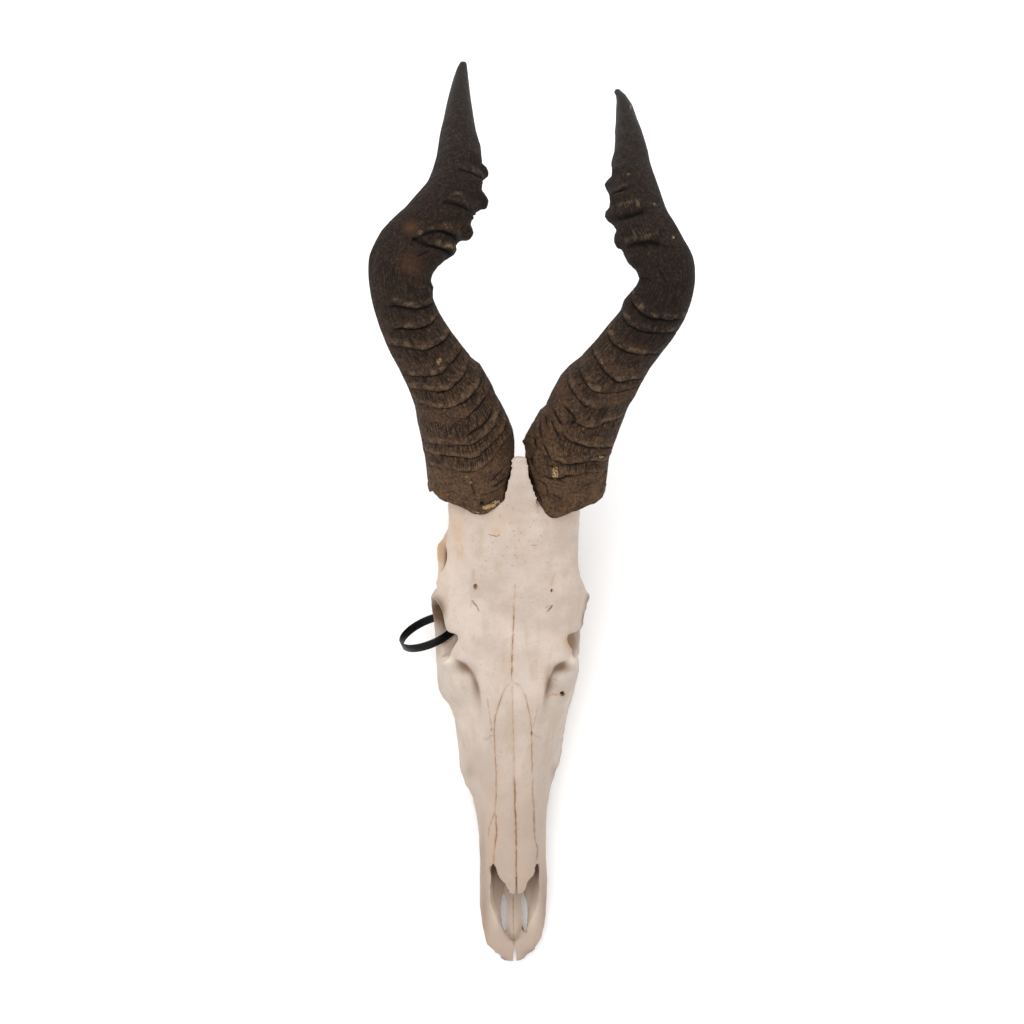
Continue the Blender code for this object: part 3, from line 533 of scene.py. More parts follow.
def horn_surface(line, station, angle):
    """Point of the plain sheath, way outward there and way toward the tip."""
    length, fine = line
    station = np.asarray(station, float)
    inside = np.clip(station, 0, length[-1])
    place = np.stack([np.interp(inside, length, fine[:, i]) for i in range(3)], -1)
    half = np.interp(inside, length, fine[:, 3])
    ahead = np.stack([np.interp(inside + 3, length, fine[:, i]) for i in range(3)], -1)
    behind = np.stack([np.interp(inside - 3, length, fine[:, i]) for i in range(3)], -1)
    along = unit(ahead - behind)
    place = place + along * (station - inside)[..., None]
    front = unit(np.array((0.0, 0.0, 1.0)) - along * along[..., 2:])
    across = np.cross(along, front)
    deep = 1 + (BASE_DEPTH - 1) * np.clip((BASE_LENGTH + 20 - inside) / 40, 0, 1)
    out = across * np.sin(angle)[..., None] + front * (np.cos(angle) * deep)[..., None]
    return place + out * half[..., None], unit(out), along


envelopes = []
cores = []
for points in (LEFT_HORN, RIGHT_HORN):
    line = horn_line(points)
    angle = np.arange(ROOM_SIDES) * 2 * math.pi / ROOM_SIDES
    station, angle = np.meshgrid(ROOM_STATIONS, angle, indexing="ij")
    place, out, _ = horn_surface(line, station, angle)
    envelopes.append(skin_over("envelope", place + out * HORN_ROOM))
    start = np.array(points[0][:3])
    way = unit(np.array(points[1][:3]) - start)
    ends = (start - way * 5, start + way * HORN_SOCKET)
    narrow = HORN_CORE * HORN_CORE_TAPER
    radii = ((HORN_CORE, HORN_CORE), (narrow, narrow))
    cores.append(bone_bar("core", ends, radii, (0, 0, 1), 32, 4))
carve(cranium, gathered("envelopes", envelopes))
carve(cranium, gathered("cores", cores), "UNION")
grown_together(cranium, FINAL_VOXEL, 2)


def press(corners, outward, centre, radii, depth):
    """Press a soft hollow into the skin, or raise it with a negative depth."""
    reach = (((corners - centre) / radii) ** 2).sum(1)
    corners -= outward * (depth * np.clip(1 - reach, 0, 1) ** 2)[:, None]


# The cheeks are a little hollow, and the bone dips where the edge of the right sheath lies
# on it: middle, reach and depth
LEFT_CHEEK = ((-42, 228, 88), (14, 24, 26), 2.0)
RIGHT_CHEEK = ((42, 228, 88), (14, 24, 26), 2.0)
SHEATH_SEAT = ((25, 415, 186), (13, 12, 14), 7.0)
corners = corners_of(cranium.data)
outward = outward_of(cranium.data)
for middle, reach, depth in (LEFT_CHEEK, RIGHT_CHEEK, SHEATH_SEAT):
    press(corners, outward, middle, reach, depth)
corners[:, 2] = np.maximum(corners[:, 2], 0.0)
put_corners(cranium.data, corners)

# The opening of the nose under the points of the nasal bones, the two slits of the palate,
# the notch of the nose and the holes for the vessels
NOSE_OPENING = ((496, 863.5), (498, 871), (499.5, 876), (503, 880), (506, 883), (508, 887.5),
                (509.5, 891), (512, 893.5), (514.3, 892.5), (515.3, 886), (516, 877), (516.8, 877),
                (517.5, 886), (518.3, 892.5), (521, 895.2), (524, 894.6), (525, 890), (525.2, 886),
                (526.3, 882), (528, 879.5), (532.5, 875), (534.5, 869), (536, 863.5), (537.6, 874),
                (539, 888), (537.6, 901), (534, 914), (529, 924), (524.5, 932), (519, 935.5),
                (509, 935.5), (503.5, 932.5), (499, 924), (495, 915), (491, 902), (490.4, 888),
                (492, 874))
NOSE_EDGE = ((492, 880), (490.6, 890), (491.5, 903), (495, 915), (499, 924), (504.5, 932), (513.5, 936),
             (522, 934), (529, 924), (534, 914), (537.4, 901), (538.6, 888))
LEFT_SLIT = ((504, 893), (506.6, 900), (507.4, 911), (507, 921), (505.6, 930.5), (503.4, 931),
             (501, 922), (499.6, 912), (499.8, 902), (501.4, 894))
RIGHT_SLIT = ((524, 893), (527.2, 901), (528.4, 912), (527.8, 922), (526, 930), (523.8, 930.5),
              (521.6, 922), (520.4, 912), (520.4, 901), (521.4, 893))
NOSE_NOTCH = ((513.3, 944.5), (515.3, 944.5), (516.4, 952), (517.0, 966), (512.2, 966), (512.7, 952))
VESSEL_HOLES = ((475.2, 586.5, 1.7, 2.5, 147.5, 175), (551.5, 590.5, 1.0, 1.7, 145.5, 175),
                (563.0, 694.3, 0.85, 0.85, 90, 130))
# Inside its edge the opening narrows toward the palate
NOSE_MIDDLE = (513.5, 900)
NOSE_NARROWING = (0.45, 0.85)
SHOULDER_ROWS = (863, 870, 885, 900, 915, 935)
SHOULDER_HEIGHTS = (60, 58, 46, 37.5, 29.5, 21.5)
opening = np.array(NOSE_OPENING)
drawn_in = NOSE_MIDDLE + (opening - NOSE_MIDDLE) * NOSE_NARROWING
shoulder = np.interp(opening[:, 1], SHOULDER_ROWS, SHOULDER_HEIGHTS)
edge = [from_photo(spot, height) for spot, height in zip(opening, shoulder)]
small_cuts = [skin_over("nose_opening", [from_photo(drawn_in, 16), edge, from_photo(opening, 112)]),
              sight_cut("nose_notch", NOSE_NOTCH, -2, 30, 1)]
for across, down, wide, tall, low, high in VESSEL_HOLES:
    turn = np.arange(14) * math.pi / 7
    ring = np.stack((across + wide * np.cos(turn), down + tall * np.sin(turn)), -1)
    small_cuts.append(sight_cut("vessel_hole", ring, low, high, 1))
carve(cranium, gathered("small_cuts", small_cuts))
slits = [sight_cut("slit", outline, 2, 29) for outline in (LEFT_SLIT, RIGHT_SLIT)]
carve(cranium, gathered("slits", slits))

# Seams, cracks and pits of the bone: points in pixels of the photograph, half width in
# pixels, depth in millimetres, how dark the line is, how warm the bone beside it
BONE_LINES = (
    (((515, 583), (515, 590), (514.5, 598), (513.7, 607)), 0.6, 0.25, 0.3, 0.3),
    (((513.7, 606), (514, 612), (513.7, 620), (513.2, 630), (512.7, 640), (512.3, 650), (512, 660),
      (512, 668), (511.5, 677), (512, 683)), 0.75, 0.8, 0.8, 0.5),
    (((512, 682), (512.6, 700), (513, 720), (514, 755), (514, 776)), 0.6, 0.4, 0.35, 0.3),
    (((514, 773), (515, 789), (515, 810), (516, 820), (516.2, 850), (516.5, 884)), 0.8, 1.0, 0.85,
     0.5),
    (((512, 682), (505.5, 688), (502, 696), (499, 704), (495, 718), (494, 730), (494.6, 749),
      (496, 772), (496, 795), (495, 813)), 0.7, 0.6, 0.6, 0.4),
    (((495, 811), (492, 820), (489, 828), (488.5, 836)), 0.6, 0.5, 0.6, 0.3),
    (((495, 811), (496.4, 818), (497, 831), (495, 849), (493, 864)), 0.8, 0.8, 0.8, 0.45),
    (((512, 682), (517, 684), (521, 687), (526, 697), (529, 711), (531, 720), (532, 734), (532, 755),
      (532.5, 778), (533, 795), (534, 810), (534.5, 830)), 0.7, 0.6, 0.55, 0.35),
    (((534.3, 806), (534.5, 830), (535, 840), (538, 847), (536.5, 862)), 0.8, 0.8, 0.75, 0.35),
    (((487, 697), (489.5, 713.5), (492, 731)), 0.6, 0.45, 0.5, 0.1),
    (((538.5, 705), (535.5, 718), (532.8, 730)), 0.6, 0.4, 0.4, 0.1),
    (((482, 742), (484.5, 737.5), (486.5, 740), (490, 735.5), (493, 735)), 0.55, 0.3, 0.4, 0.0),
    (((533.7, 733.6), (536.5, 737), (538.5, 735.8), (541.4, 743)), 0.55, 0.3, 0.35, 0.0),
    (((491.5, 727.5), (491.5, 731)), 1.0, 0.8, 0.8, 0.0),
    (((532, 732), (532, 736.5)), 1.2, 1.0, 0.9, 0.2),
    (((513, 893), (513.2, 915), (513.4, 936)), 0.6, 0.6, 0.6, 0.2),
    (((513.5, 934), (514.2, 945)), 1.2, 1.2, 0.8, 0.2),
    (((471.5, 600.3), (473.5, 603), (476, 606), (479, 611)), 0.8, 1.2, 0.9, 0.1),
    (((472, 600.8), (471, 604), (470.8, 609)), 0.7, 0.4, 0.35, 0.0),
    (((552.6, 605.4), (551, 608), (549.5, 609.5), (547.5, 612)), 0.9, 1.3, 0.9, 0.1),
    (((545.8, 609), (547.5, 606.6), (550, 606)), 0.6, 0.4, 0.35, 0.0),
    (((480.2, 606.3), (480.9, 606.3)), 0.8, 0.8, 0.8, 0.0),
    (((488.5, 534.5), (493, 535), (496, 536.5), (499.5, 534.5)), 0.6, 0.7, 0.65, 0.3),
    (((531, 545.5), (536, 545.5)), 0.6, 0.5, 0.5, 0.2),
    (((533, 549), (537, 547.5)), 0.6, 0.4, 0.3, 0.2),
    (((473, 569), (474, 584)), 1.7, 0.6, 0.15, 0.12),
    (((555.5, 572), (553, 580), (552, 587)), 1.3, 0.5, 0.1, 0.12),
    (((548.5, 674), (545.5, 690), (543.4, 706)), 1.2, 0.5, 0.35, 0.1),
    (((549, 698.5), (555, 696), (561, 696)), 0.8, 0.4, 0.35, 0.6),
    (((552, 683), (556, 681.5), (562, 684)), 0.8, 0.4, 0.3, 0.1),
    (((468.6, 794), (471.5, 796.5)), 1.6, 1.4, 0.55, 0.1),
    (((556.8, 768), (555.5, 774)), 1.5, 1.2, 0.5, 0.1),
    (((512.5, 459), (518, 463), (524, 460)), 1.0, 0.5, 0.2, 0.2),
    # These last four lines follow no seam: they darken the rim of the nose tip and the outer edges of
    # the muzzle.
    (((487, 946), (495.5, 954.4), (507, 960.2)), 1.9, 0.1, 0.5, 0.0),
    (((520, 960), (531, 954.6), (540, 943)), 2.6, 0.1, 0.55, 0.0),
    (((447.5, 704), (454.5, 719), (457, 742)), 1.0, 0.1, 0.3, 0.0),
    (((566.5, 719), (562, 747), (559, 764)), 1.0, 0.1, 0.3, 0.0),
)
PITS = ((504, 556), (515, 556), (517, 558), (513, 509), (510, 524), (534, 521), (529, 541),
        (493, 543), (521, 533), (507, 547), (541, 536), (526, 562), (515.5, 548), (500, 517),
        (538, 512), (514, 531), (501.5, 752), (496, 795), (526, 919), (547, 563), (486, 561),
        (530, 527), (519, 541), (512.5, 566))
FLAKE = ((488.5, 534.5), (493, 535), (496, 536.5), (500, 533.5))
# The edge of the deep hollow in front of each eye, and on which side of it the hollow lies
HOLLOW_EDGES = (
    (((450, 654), (457, 658), (466, 663), (474.5, 672.5), (480, 686), (482, 697), (484, 712),
      (484, 730)), 1),
    (((572, 658), (563, 661), (554.7, 665.6), (548, 678), (544.4, 692), (542.5, 704), (541.5, 722)),
     -1),
)
# Patches: which mark, middle and reach in pixels of the photograph, strength. The warm marks
# are stains in the bone. The hollow marks, and the dark marks at the eye sockets and vessel holes,
# are painted shade: in the sockets, in the hollows before the eyes, in the holes, down the sides
# of the muzzle and round the tip of the nose. The pale marks on the walls and floor of the nose
# are painted light against the shade there; the other pale marks lighten the knobs under the
# eyes and a few spots.
STAINS_AND_PAINTED_SHADING = (
    ("warm", 440, 550, 6, 24, 0.8), ("warm", 458, 530, 9, 34, 0.35), ("warm", 552, 582, 3, 9, 0.15),
    ("warm", 496, 530.5, 5, 3.5, 0.45), ("warm", 500, 518, 22, 10, 0.25),
    ("warm", 522, 545, 10, 12, 0.15), ("hollow", 470, 771, 6, 11, 0.35),
    ("hollow", 554, 771, 5, 9, 0.4), ("hollow", 463, 668, 12, 8, 0.55),
    ("hollow", 562, 668, 11, 7, 0.75), ("hollow", 475, 688, 5, 16, 0.4),
    ("hollow", 548, 684, 5, 16, 0.55), ("hollow", 556, 689, 8, 8, 0.3),
    ("hollow", 500, 957, 11, 3, 0.35), ("hollow", 531, 953, 9, 6, 0.45),
    ("hollow", 484, 915, 6, 42, 0.42), ("hollow", 545, 905, 5, 45, 0.4),
    ("hollow", 445, 640, 5, 10, 0.3), ("hollow", 482, 850, 5, 32, 0.35),
    ("dark", 435, 606, 7, 9, 0.4), ("dark", 589, 602, 2.6, 7, 0.4), ("dark", 584, 618, 2.4, 9, 0.4),
    ("hollow", 437, 611, 9, 15, 1.1), ("hollow", 571, 641, 5, 9, 0.5), ("warm", 492, 845, 5, 30, 0.2),
    ("pale", 447, 660, 5, 4.5, 0.9), ("pale", 573, 660, 5, 4.5, 0.9), ("warm", 570, 642, 5, 8, 0.6),
    ("pale", 497, 908, 7, 20, 0.5), ("pale", 532, 908, 7, 20, 0.5), ("pale", 513, 918, 8, 20, 0.3),
    ("warm", 498, 898, 6, 18, 0.3), ("warm", 532, 898, 6, 18, 0.3),
    ("warm", 475, 586.5, 1.8, 2.6, 1.0), ("dark", 476, 587, 1.2, 2.4, 0.5),
    ("dark", 551.5, 590.5, 1.0, 1.6, 0.7), ("dark", 563, 694.4, 1.1, 1.0, 0.7),
    ("warm", 563, 694.4, 1.7, 1.7, 0.8), ("pale", 441, 570, 3, 12, 0.35),
    ("pale", 556, 700, 7, 12, 0.25), ("pale", 470, 706, 7, 14, 0.2), ("hollow", 584, 624, 3, 12, 0.7),
    ("hollow", 588, 606, 3.5, 12, 0.7),
)


def beside(spots, line):
    """Distance of places from a drawn line, the side they lie on and how far along it."""
    line = np.asarray(line, float)
    best = np.full(len(spots), 1e6)
    side = np.zeros(len(spots))
    share = np.zeros(len(spots))
    ways = np.diff(line, axis=0)
    steps = np.linalg.norm(ways, axis=1)
    run = np.concatenate(([0], np.cumsum(steps)))
    close = np.flatnonzero(((spots > line.min(0) - 45) & (spots < line.max(0) + 45)).all(1))
    for start, way, length, before in zip(line, ways, steps, run):
        past = spots[close] - start
        t = np.clip((past @ way) / length ** 2, 0, 1)
        gap = np.linalg.norm(past - t[:, None] * way, axis=1)
        nearer = gap < best[close]
        chosen = close[nearer]
        best[chosen] = gap[nearer]
        side[chosen] = np.sign(way[0] * past[nearer, 1] - way[1] * past[nearer, 0])
        share[chosen] = (before + t[nearer] * length) / run[-1]
    return best, side, share


def seen_from_above(mesh):
    """Which corners the camera can see, and the tree of faces that tells."""
    shape = bmesh.new()
    shape.from_mesh(mesh)
    tree = bvhtree.BVHTree.FromBMesh(shape)
    shape.free()
    corners = corners_of(mesh)
    outward = outward_of(mesh)
    seen = outward[:, 2] > 0.03
    up = Vector((-0.05, 0.0, 1.0))
    for number in np.flatnonzero(seen):
        start = Vector(corners[number] + outward[number] * 0.3)
        seen[number] = tree.ray_cast(start, up)[0] is None
    return seen, tree


def split_near(mesh, lines, reach):
    """Split the skin more finely within reach of the drawn lines."""
    spots = in_photo(corners_of(mesh))
    seen, _ = seen_from_above(mesh)
    near = np.zeros(len(spots), bool)
    for line in lines:
        near |= seen & (beside(spots, line)[0] < reach)
    shape = bmesh.new()
    shape.from_mesh(mesh)
    edges = [edge for edge in shape.edges if near[edge.verts[0].index] and near[edge.verts[1].index]]
    made = bmesh.ops.subdivide_edges(shape, edges=edges, cuts=1, use_grid_fill=True)
    fresh = [part for part in made["geom_inner"] if isinstance(part, bmesh.types.BMVert)]
    bmesh.ops.smooth_vert(shape, verts=fresh, factor=0.5, use_axis_x=True, use_axis_y=True,
                          use_axis_z=True)
    shape.to_mesh(mesh)
    shape.free()


def noise_over(places, scale):
    """Smooth random unevenness at each place."""
    values = [noise.noise(Vector(place) * scale) for place in places.reshape(-1, 3)]
    return np.array(values).reshape(places.shape[:-1])


drawn = [row[0] for row in BONE_LINES]
drawn += [((across, down), (across + 0.6, down)) for across, down in PITS]
for reach in (3.3, 1.8):
    split_near(cranium.data, drawn, reach)
seen, _ = seen_from_above(cranium.data)
corners = corners_of(cranium.data)
outward = outward_of(cranium.data)
spots = in_photo(corners)
wobble = np.zeros(spots.shape)
broken = np.ones(len(spots))
# The lines waver a little and fade out in places
WAVER_SCALE = 0.35
FADE_SCALE = 0.2
for number in np.flatnonzero(seen):
    x, y, _ = corners[number]
    wobble[number] = (noise.noise(Vector((x * WAVER_SCALE, y * WAVER_SCALE, 3.0))),
                      noise.noise(Vector((x * WAVER_SCALE, y * WAVER_SCALE, 9.0))))
    strength = 0.8 + 0.9 * noise.noise(Vector((x * FADE_SCALE, y * FADE_SCALE, 5.0)))
    broken[number] = min(max(strength, 0.25), 1.0)
bone_marks = {name: np.zeros(len(corners)) for name in ("hollow", "warm", "dark", "pale")}
moved = np.zeros(len(corners))

# The hollow in front of the eye is steep at its edge and shallow toward the cheek
HOLLOW_DEPTH = 5.5
HOLLOW_BANK = 0.5
for edge, way in HOLLOW_EDGES:
    gap, side, share = beside(spots, edge)
    inside = seen & (side == way)
    along = np.clip(share / 0.12, 0, 1) * np.clip((1 - share) / 0.45, 0, 1)
    wall = np.clip(gap / 6.5, 0, 1)
    wall = wall * wall * (3 - 2 * wall) * np.clip(1 - gap / 32, 0, 1) ** 1.3
    moved -= np.where(inside, HOLLOW_DEPTH * wall * along, 0)
    bank = HOLLOW_BANK * np.sin(np.clip(gap / 6, 0, 1) * math.pi) ** 2
    moved += np.where(seen & (side == -way), bank * along, 0)
    # Shade is painted inside each hollow, a little way in from its steep edge.
    fossa_shade = np.clip(gap / 3, 0, 1) * np.exp(-(gap / 9) ** 2)
    bone_marks["hollow"] += np.where(inside, 0.5 * fossa_shade * along, 0)

# Each nasal bone is gently rounded between its seams
NASAL_TOP = 683
NASAL_EDGE = 4.0
NASAL_ROUNDING = 0.9
nasal_middle = BONE_LINES[2][0] + BONE_LINES[3][0][1:]
left_seam = BONE_LINES[4][0]
right_seam = BONE_LINES[7][0]
edges = [beside(spots, line)[0] for line in (left_seam, right_seam, nasal_middle)]
left_side = np.interp(spots[:, 1], *across_at_rows(left_seam))
right_side = np.interp(spots[:, 1], *across_at_rows(right_seam))
nasal = seen & (spots[:, 0] > left_side) & (spots[:, 0] < right_side) & (spots[:, 1] > NASAL_TOP)
rounding = 1 - np.exp(-(np.minimum.reduce(edges) / NASAL_EDGE) ** 2)
moved += np.where(nasal, NASAL_ROUNDING * rounding, 0)

WAVER = 0.55
LINE_SHARPNESS = 0.78
PIT_DEPTH = 0.5
for line, half, depth, dark, warm in BONE_LINES:
    gap, _, share = beside(spots + wobble * WAVER, line)
    half = half * LINE_SHARPNESS
    tapered = 0.35 + 0.65 * np.clip(np.minimum(share, 1 - share) / 0.12, 0, 1)
    ends = np.where(seen, tapered, 0) * broken
    moved -= depth * np.exp(-(gap / half) ** 2) * ends
    darkened = 0.8 * dark * np.exp(-(gap / (half * 1.05)) ** 2) * ends
    warmed = warm * np.exp(-(gap / (half + 1.2)) ** 2) * ends
    bone_marks["dark"] = np.maximum(bone_marks["dark"], darkened)
    bone_marks["warm"] = np.maximum(bone_marks["warm"], warmed)
for across, down in PITS:
    gap = np.linalg.norm(spots - (across, down), axis=1)
    moved -= np.where(seen, PIT_DEPTH * np.exp(-(gap / 0.8) ** 2), 0)
    darkened = np.where(seen, 0.3 * np.exp(-(gap / 0.75) ** 2), 0)
    bone_marks["dark"] = np.maximum(bone_marks["dark"], darkened)
for name, across, down, wide, tall, strength in STAINS_AND_PAINTED_SHADING:
    reach = ((spots - (across, down)) / (wide, tall)) ** 2
    facing = np.where(seen, 1, np.clip(outward[:, 2] * 2 + 0.5, 0, 1))
    bone_marks[name] += strength * np.exp(-reach.sum(1)) * facing
# A thin flake of bone stands up beside the crack on the forehead
FLAKE_HEIGHT = 1.1
FLAKE_REACH = 3.2
gap, side, share = beside(spots, FLAKE)
ends = np.clip(np.minimum(share, 1 - share) / 0.2, 0, 1)
moved += np.where(seen & (side < 0), FLAKE_HEIGHT * np.exp(-(gap / FLAKE_REACH) ** 2) * ends, 0)

# The whole surface is a little uneven, in long waves and in short ones
LONG_WAVES = 0.045
LONG_WAVE_HEIGHT = 0.5
SHORT_WAVES = 0.16
SHORT_WAVE_HEIGHT = 0.16
uneven = noise_over(corners, LONG_WAVES) * LONG_WAVE_HEIGHT
uneven += noise_over(corners, SHORT_WAVES) * SHORT_WAVE_HEIGHT
corners += outward * (moved + uneven)[:, None]
corners[:, 2] = np.maximum(corners[:, 2], 0.0)
put_corners(cranium.data, corners)
# Wear has softened the edges of the two hollows and of the nose
soft = np.zeros(len(corners))
for edge, _ in HOLLOW_EDGES:
    soft = np.maximum(soft, seen * np.clip(1.6 - beside(spots, edge)[0] / 5, 0, 1))
soft = np.maximum(soft, 0.8 * (beside(spots, NOSE_EDGE)[0] < 3.5))
# Behind the eye sockets the walls run softly into each other
behind_eyes = np.clip((corners[:, 1] - 282) / 8, 0, 1) * np.clip((396 - corners[:, 1]) / 8, 0, 1)
behind_eyes *= np.clip((116 - corners[:, 2]) / 6, 0, 1) * np.clip((corners[:, 2] - 50) / 8, 0, 1)
soft = np.maximum(soft, 0.9 * behind_eyes * (~seen) * (np.abs(corners[:, 0]) > 26))
soft_layer = cranium.vertex_groups.new(name="soft")
for number in np.flatnonzero(soft > 0.05):
    soft_layer.add([int(number)], float(soft[number]), "REPLACE")
worn_soft = cranium.modifiers.new("Worn soft", "SMOOTH")
worn_soft.vertex_group = "soft"
worn_soft.factor = 0.6
worn_soft.iterations = 14
made_solid(cranium)

# Shade is painted where the bone closes a place in: each corner looks out in fourteen ways
# for the open air, and the less it sees, the browner it is painted.
corners = corners_of(cranium.data)
outward = outward_of(cranium.data)
SIGHT = 70.0
LIFT = 0.8
WAYS = unit(np.array([(a, b, c) for a in (-1, 0, 1) for b in (-1, 0, 1) for c in (-1, 0, 1)
                      if abs(a) + abs(b) + abs(c) in (1, 3)], float))
_, tree = seen_from_above(cranium.data)
open_share = np.zeros(len(corners))
whole = np.zeros(len(corners))
for way in WAYS:
    lean = outward @ way
    for number in np.flatnonzero(lean > 0.3):
        whole[number] += lean[number]
        start = Vector(corners[number] + outward[number] * LIFT)
        if tree.ray_cast(start, Vector(way), SIGHT)[0] is None:
            open_share[number] += lean[number]
open_share /= np.maximum(whole, 0.1)
ends = np.empty(len(cranium.data.edges) * 2, np.int32)
cranium.data.edges.foreach_get("vertices", ends)
first, second = ends.reshape(-1, 2).T
count = np.bincount(first, minlength=len(corners))
count += np.bincount(second, minlength=len(corners))
for _ in range(4):
    total = np.bincount(first, open_share[second], len(corners))
    total += np.bincount(second, open_share[first], len(corners))
    open_share = 0.4 * open_share + 0.6 * total / np.maximum(count, 1)
# The walls inside the nose are kept free of this painted shade, which reaches only its upper corners.
nose = np.clip((spots[:, 1] - 872) / 14, 0, 1) * np.clip((945 - spots[:, 1]) / 10, 0, 1)
bone_marks["hollow"] += np.clip((0.66 - open_share) / 0.6, 0, 1) * 0.95 * (1 - nose)


SOFT_LIMIT = 1.5 * MM
SOFT_SHARE = 0.95 * SOFT_LIMIT


def to_the_skull(thing):
    """From millimetres on the bench to its place on the skull, within the measured size."""
    thing.data.transform(Matrix.Translation(SKULL_PLACE) @ Matrix.Scale(MM, 4))
    corners = corners_of(thing.data)
    for axis, way, limit in ((0, -1, solid_low[0]), (0, 1, solid_high[0]), (1, -1, solid_low[1]),
                             (1, 1, solid_high[1]), (2, 1, solid_high[2])):
        over = np.maximum(way * (corners[:, axis] - limit) + SOFT_LIMIT, 0)
        corners[:, axis] -= way * (over - SOFT_SHARE * np.tanh(over / SOFT_SHARE))
    put_corners(thing.data, corners)
    thing.data.shade_smooth()


def node_group(name, inputs, outputs):
    """Empty effect for the materials, with its named inputs and outputs."""
    group = bpy.data.node_groups.new(name, "ShaderNodeTree")
    for label, kind, default in inputs:
        socket = group.interface.new_socket(label, in_out="INPUT", socket_type=kind)
        if default is not None:
            socket.default_value = default
    for label, kind in outputs:
        group.interface.new_socket(label, in_out="OUTPUT", socket_type=kind)
    return group, group.nodes.new("NodeGroupInput"), group.nodes.new("NodeGroupOutput")


def place_node(tree, kind, settings=(), **inputs):
    """Node of a kind, its settings set and its inputs linked or filled in."""
    node = tree.nodes.new(kind)
    for name, value in dict(settings).items():
        setattr(node, name, value)
    for name, value in inputs.items():
        label = int(name[1:]) if name[1:].isdigit() else name.replace("_", " ")
        socket = node.inputs[label]
        if isinstance(value, bpy.types.NodeSocket):
            tree.links.new(value, socket)
        else:
            socket.default_value = value
    return node


def mixed(tree, factor, first, second, way="MIX"):
    """Colour between two, by a factor."""
    node = place_node(tree, "ShaderNodeMix", {"data_type": "RGBA", "blend_type": way})
    for socket, value in ((node.inputs[0], factor), (node.inputs[6], first), (node.inputs[7], second)):
        if isinstance(value, bpy.types.NodeSocket):
            tree.links.new(value, socket)
        else:
            socket.default_value = value
    return node.outputs[2]


def mapped(tree, value, low, high, to_low=0.0, to_high=1.0):
    """A value brought from one range to another, smoothly."""
    node = place_node(tree, "ShaderNodeMapRange", {"interpolation_type": "SMOOTHSTEP"}, Value=value)
    for number, limit in zip((1, 2, 3, 4), (low, high, to_low, to_high)):
        node.inputs[number].default_value = limit
    return node.outputs[0]


LAMP_GAIN = 1.40


def colour(red, green, blue):
    """Paint that looks like this on a screen, 0 to 255, under the bright studio lamps."""
    parts = [part / 255 for part in (red, green, blue)]
    parts = [part / 12.92 if part <= 0.04045 else ((part + 0.055) / 1.055) ** 2.4 for part in parts]
    return (*[part / LAMP_GAIN for part in parts], 1.0)


def marked(thing, name, values):
    """Give every corner of the mesh a value that the material reads."""
    layer = thing.data.attributes.new(name, "FLOAT", "POINT")
    layer.data.foreach_set("value", np.asarray(values, np.float32))


def mark(tree, name):
    """The value that every corner of the mesh was given under a name."""
    return place_node(tree, "ShaderNodeAttribute", {"attribute_name": name}).outputs["Fac"]


def texture(tree, where, scale, detail=4.0, rough=0.55, stretch=(1, 1, 1)):
    """Cloudy pattern, drawn out along an axis where a stretch is given."""
    drawn = place_node(tree, "ShaderNodeMapping", Vector=where, Scale=stretch).outputs[0]
    made = place_node(tree, "ShaderNodeTexNoise", Vector=drawn, Scale=scale, Detail=detail,
                      Roughness=rough)
    return made.outputs["Fac"]


# Weathering that bone, teeth and horn share: blotches, fine grain and small pits
weathering, enter, leave = node_group(
    "weathering",
    (("Where", "NodeSocketVector", None), ("Blotch size", "NodeSocketFloat", 40.0),
     ("Grain size", "NodeSocketFloat", 900.0)),
    (("Blotches", "NodeSocketFloat"), ("Grain", "NodeSocketFloat"), ("Pits", "NodeSocketFloat")))
blotches = place_node(weathering, "ShaderNodeTexNoise", Vector=enter.outputs[0],
                      Scale=enter.outputs[1], Detail=5.0, Roughness=0.6)
grain = place_node(weathering, "ShaderNodeTexNoise", Vector=enter.outputs[0],
                   Scale=enter.outputs[2], Detail=3.0, Roughness=0.7)
pits = place_node(weathering, "ShaderNodeTexVoronoi", Vector=enter.outputs[0], Scale=enter.outputs[2])
weathering.links.new(mapped(weathering, blotches.outputs["Fac"], 0.3, 0.7), leave.inputs[0])
weathering.links.new(grain.outputs["Fac"], leave.inputs[1])
weathering.links.new(mapped(weathering, pits.outputs["Distance"], 0.25, 0.05), leave.inputs[2])


def new_material(name, roughness):
    """Material with its main shader, and where its surface is."""
    material = bpy.data.materials.new(name)
    material.use_nodes = True
    tree = material.node_tree
    shader = tree.nodes["Principled BSDF"]
    shader.inputs["Roughness"].default_value = roughness
    where = place_node(tree, "ShaderNodeTexCoord").outputs["Object"]
    return material, tree, shader, where


def weathered(tree, where, blotch, grain_size):
    """The shared weathering, with its own sizes."""
    return place_node(tree, "ShaderNodeGroup", {"node_tree": weathering}, Where=where,
                      Blotch_size=blotch, Grain_size=grain_size)


def raised(tree, shader, height, distance, strength=1.0, under=None):
    """Relief that the light shows, laid over relief that is already there."""
    bump = place_node(tree, "ShaderNodeBump", Height=height, Distance=distance, Strength=strength)
    if under is not None:
        tree.links.new(under.outputs[0], bump.inputs["Normal"])
    tree.links.new(bump.outputs[0], shader.inputs["Normal"])
    return bump


bone, tree, shader, where = new_material("bleached_bone", 0.6)
old = weathered(tree, where, 26.0, 900.0)
base = mixed(tree, old.outputs["Blotches"], colour(200, 182, 168), colour(222, 206, 193))
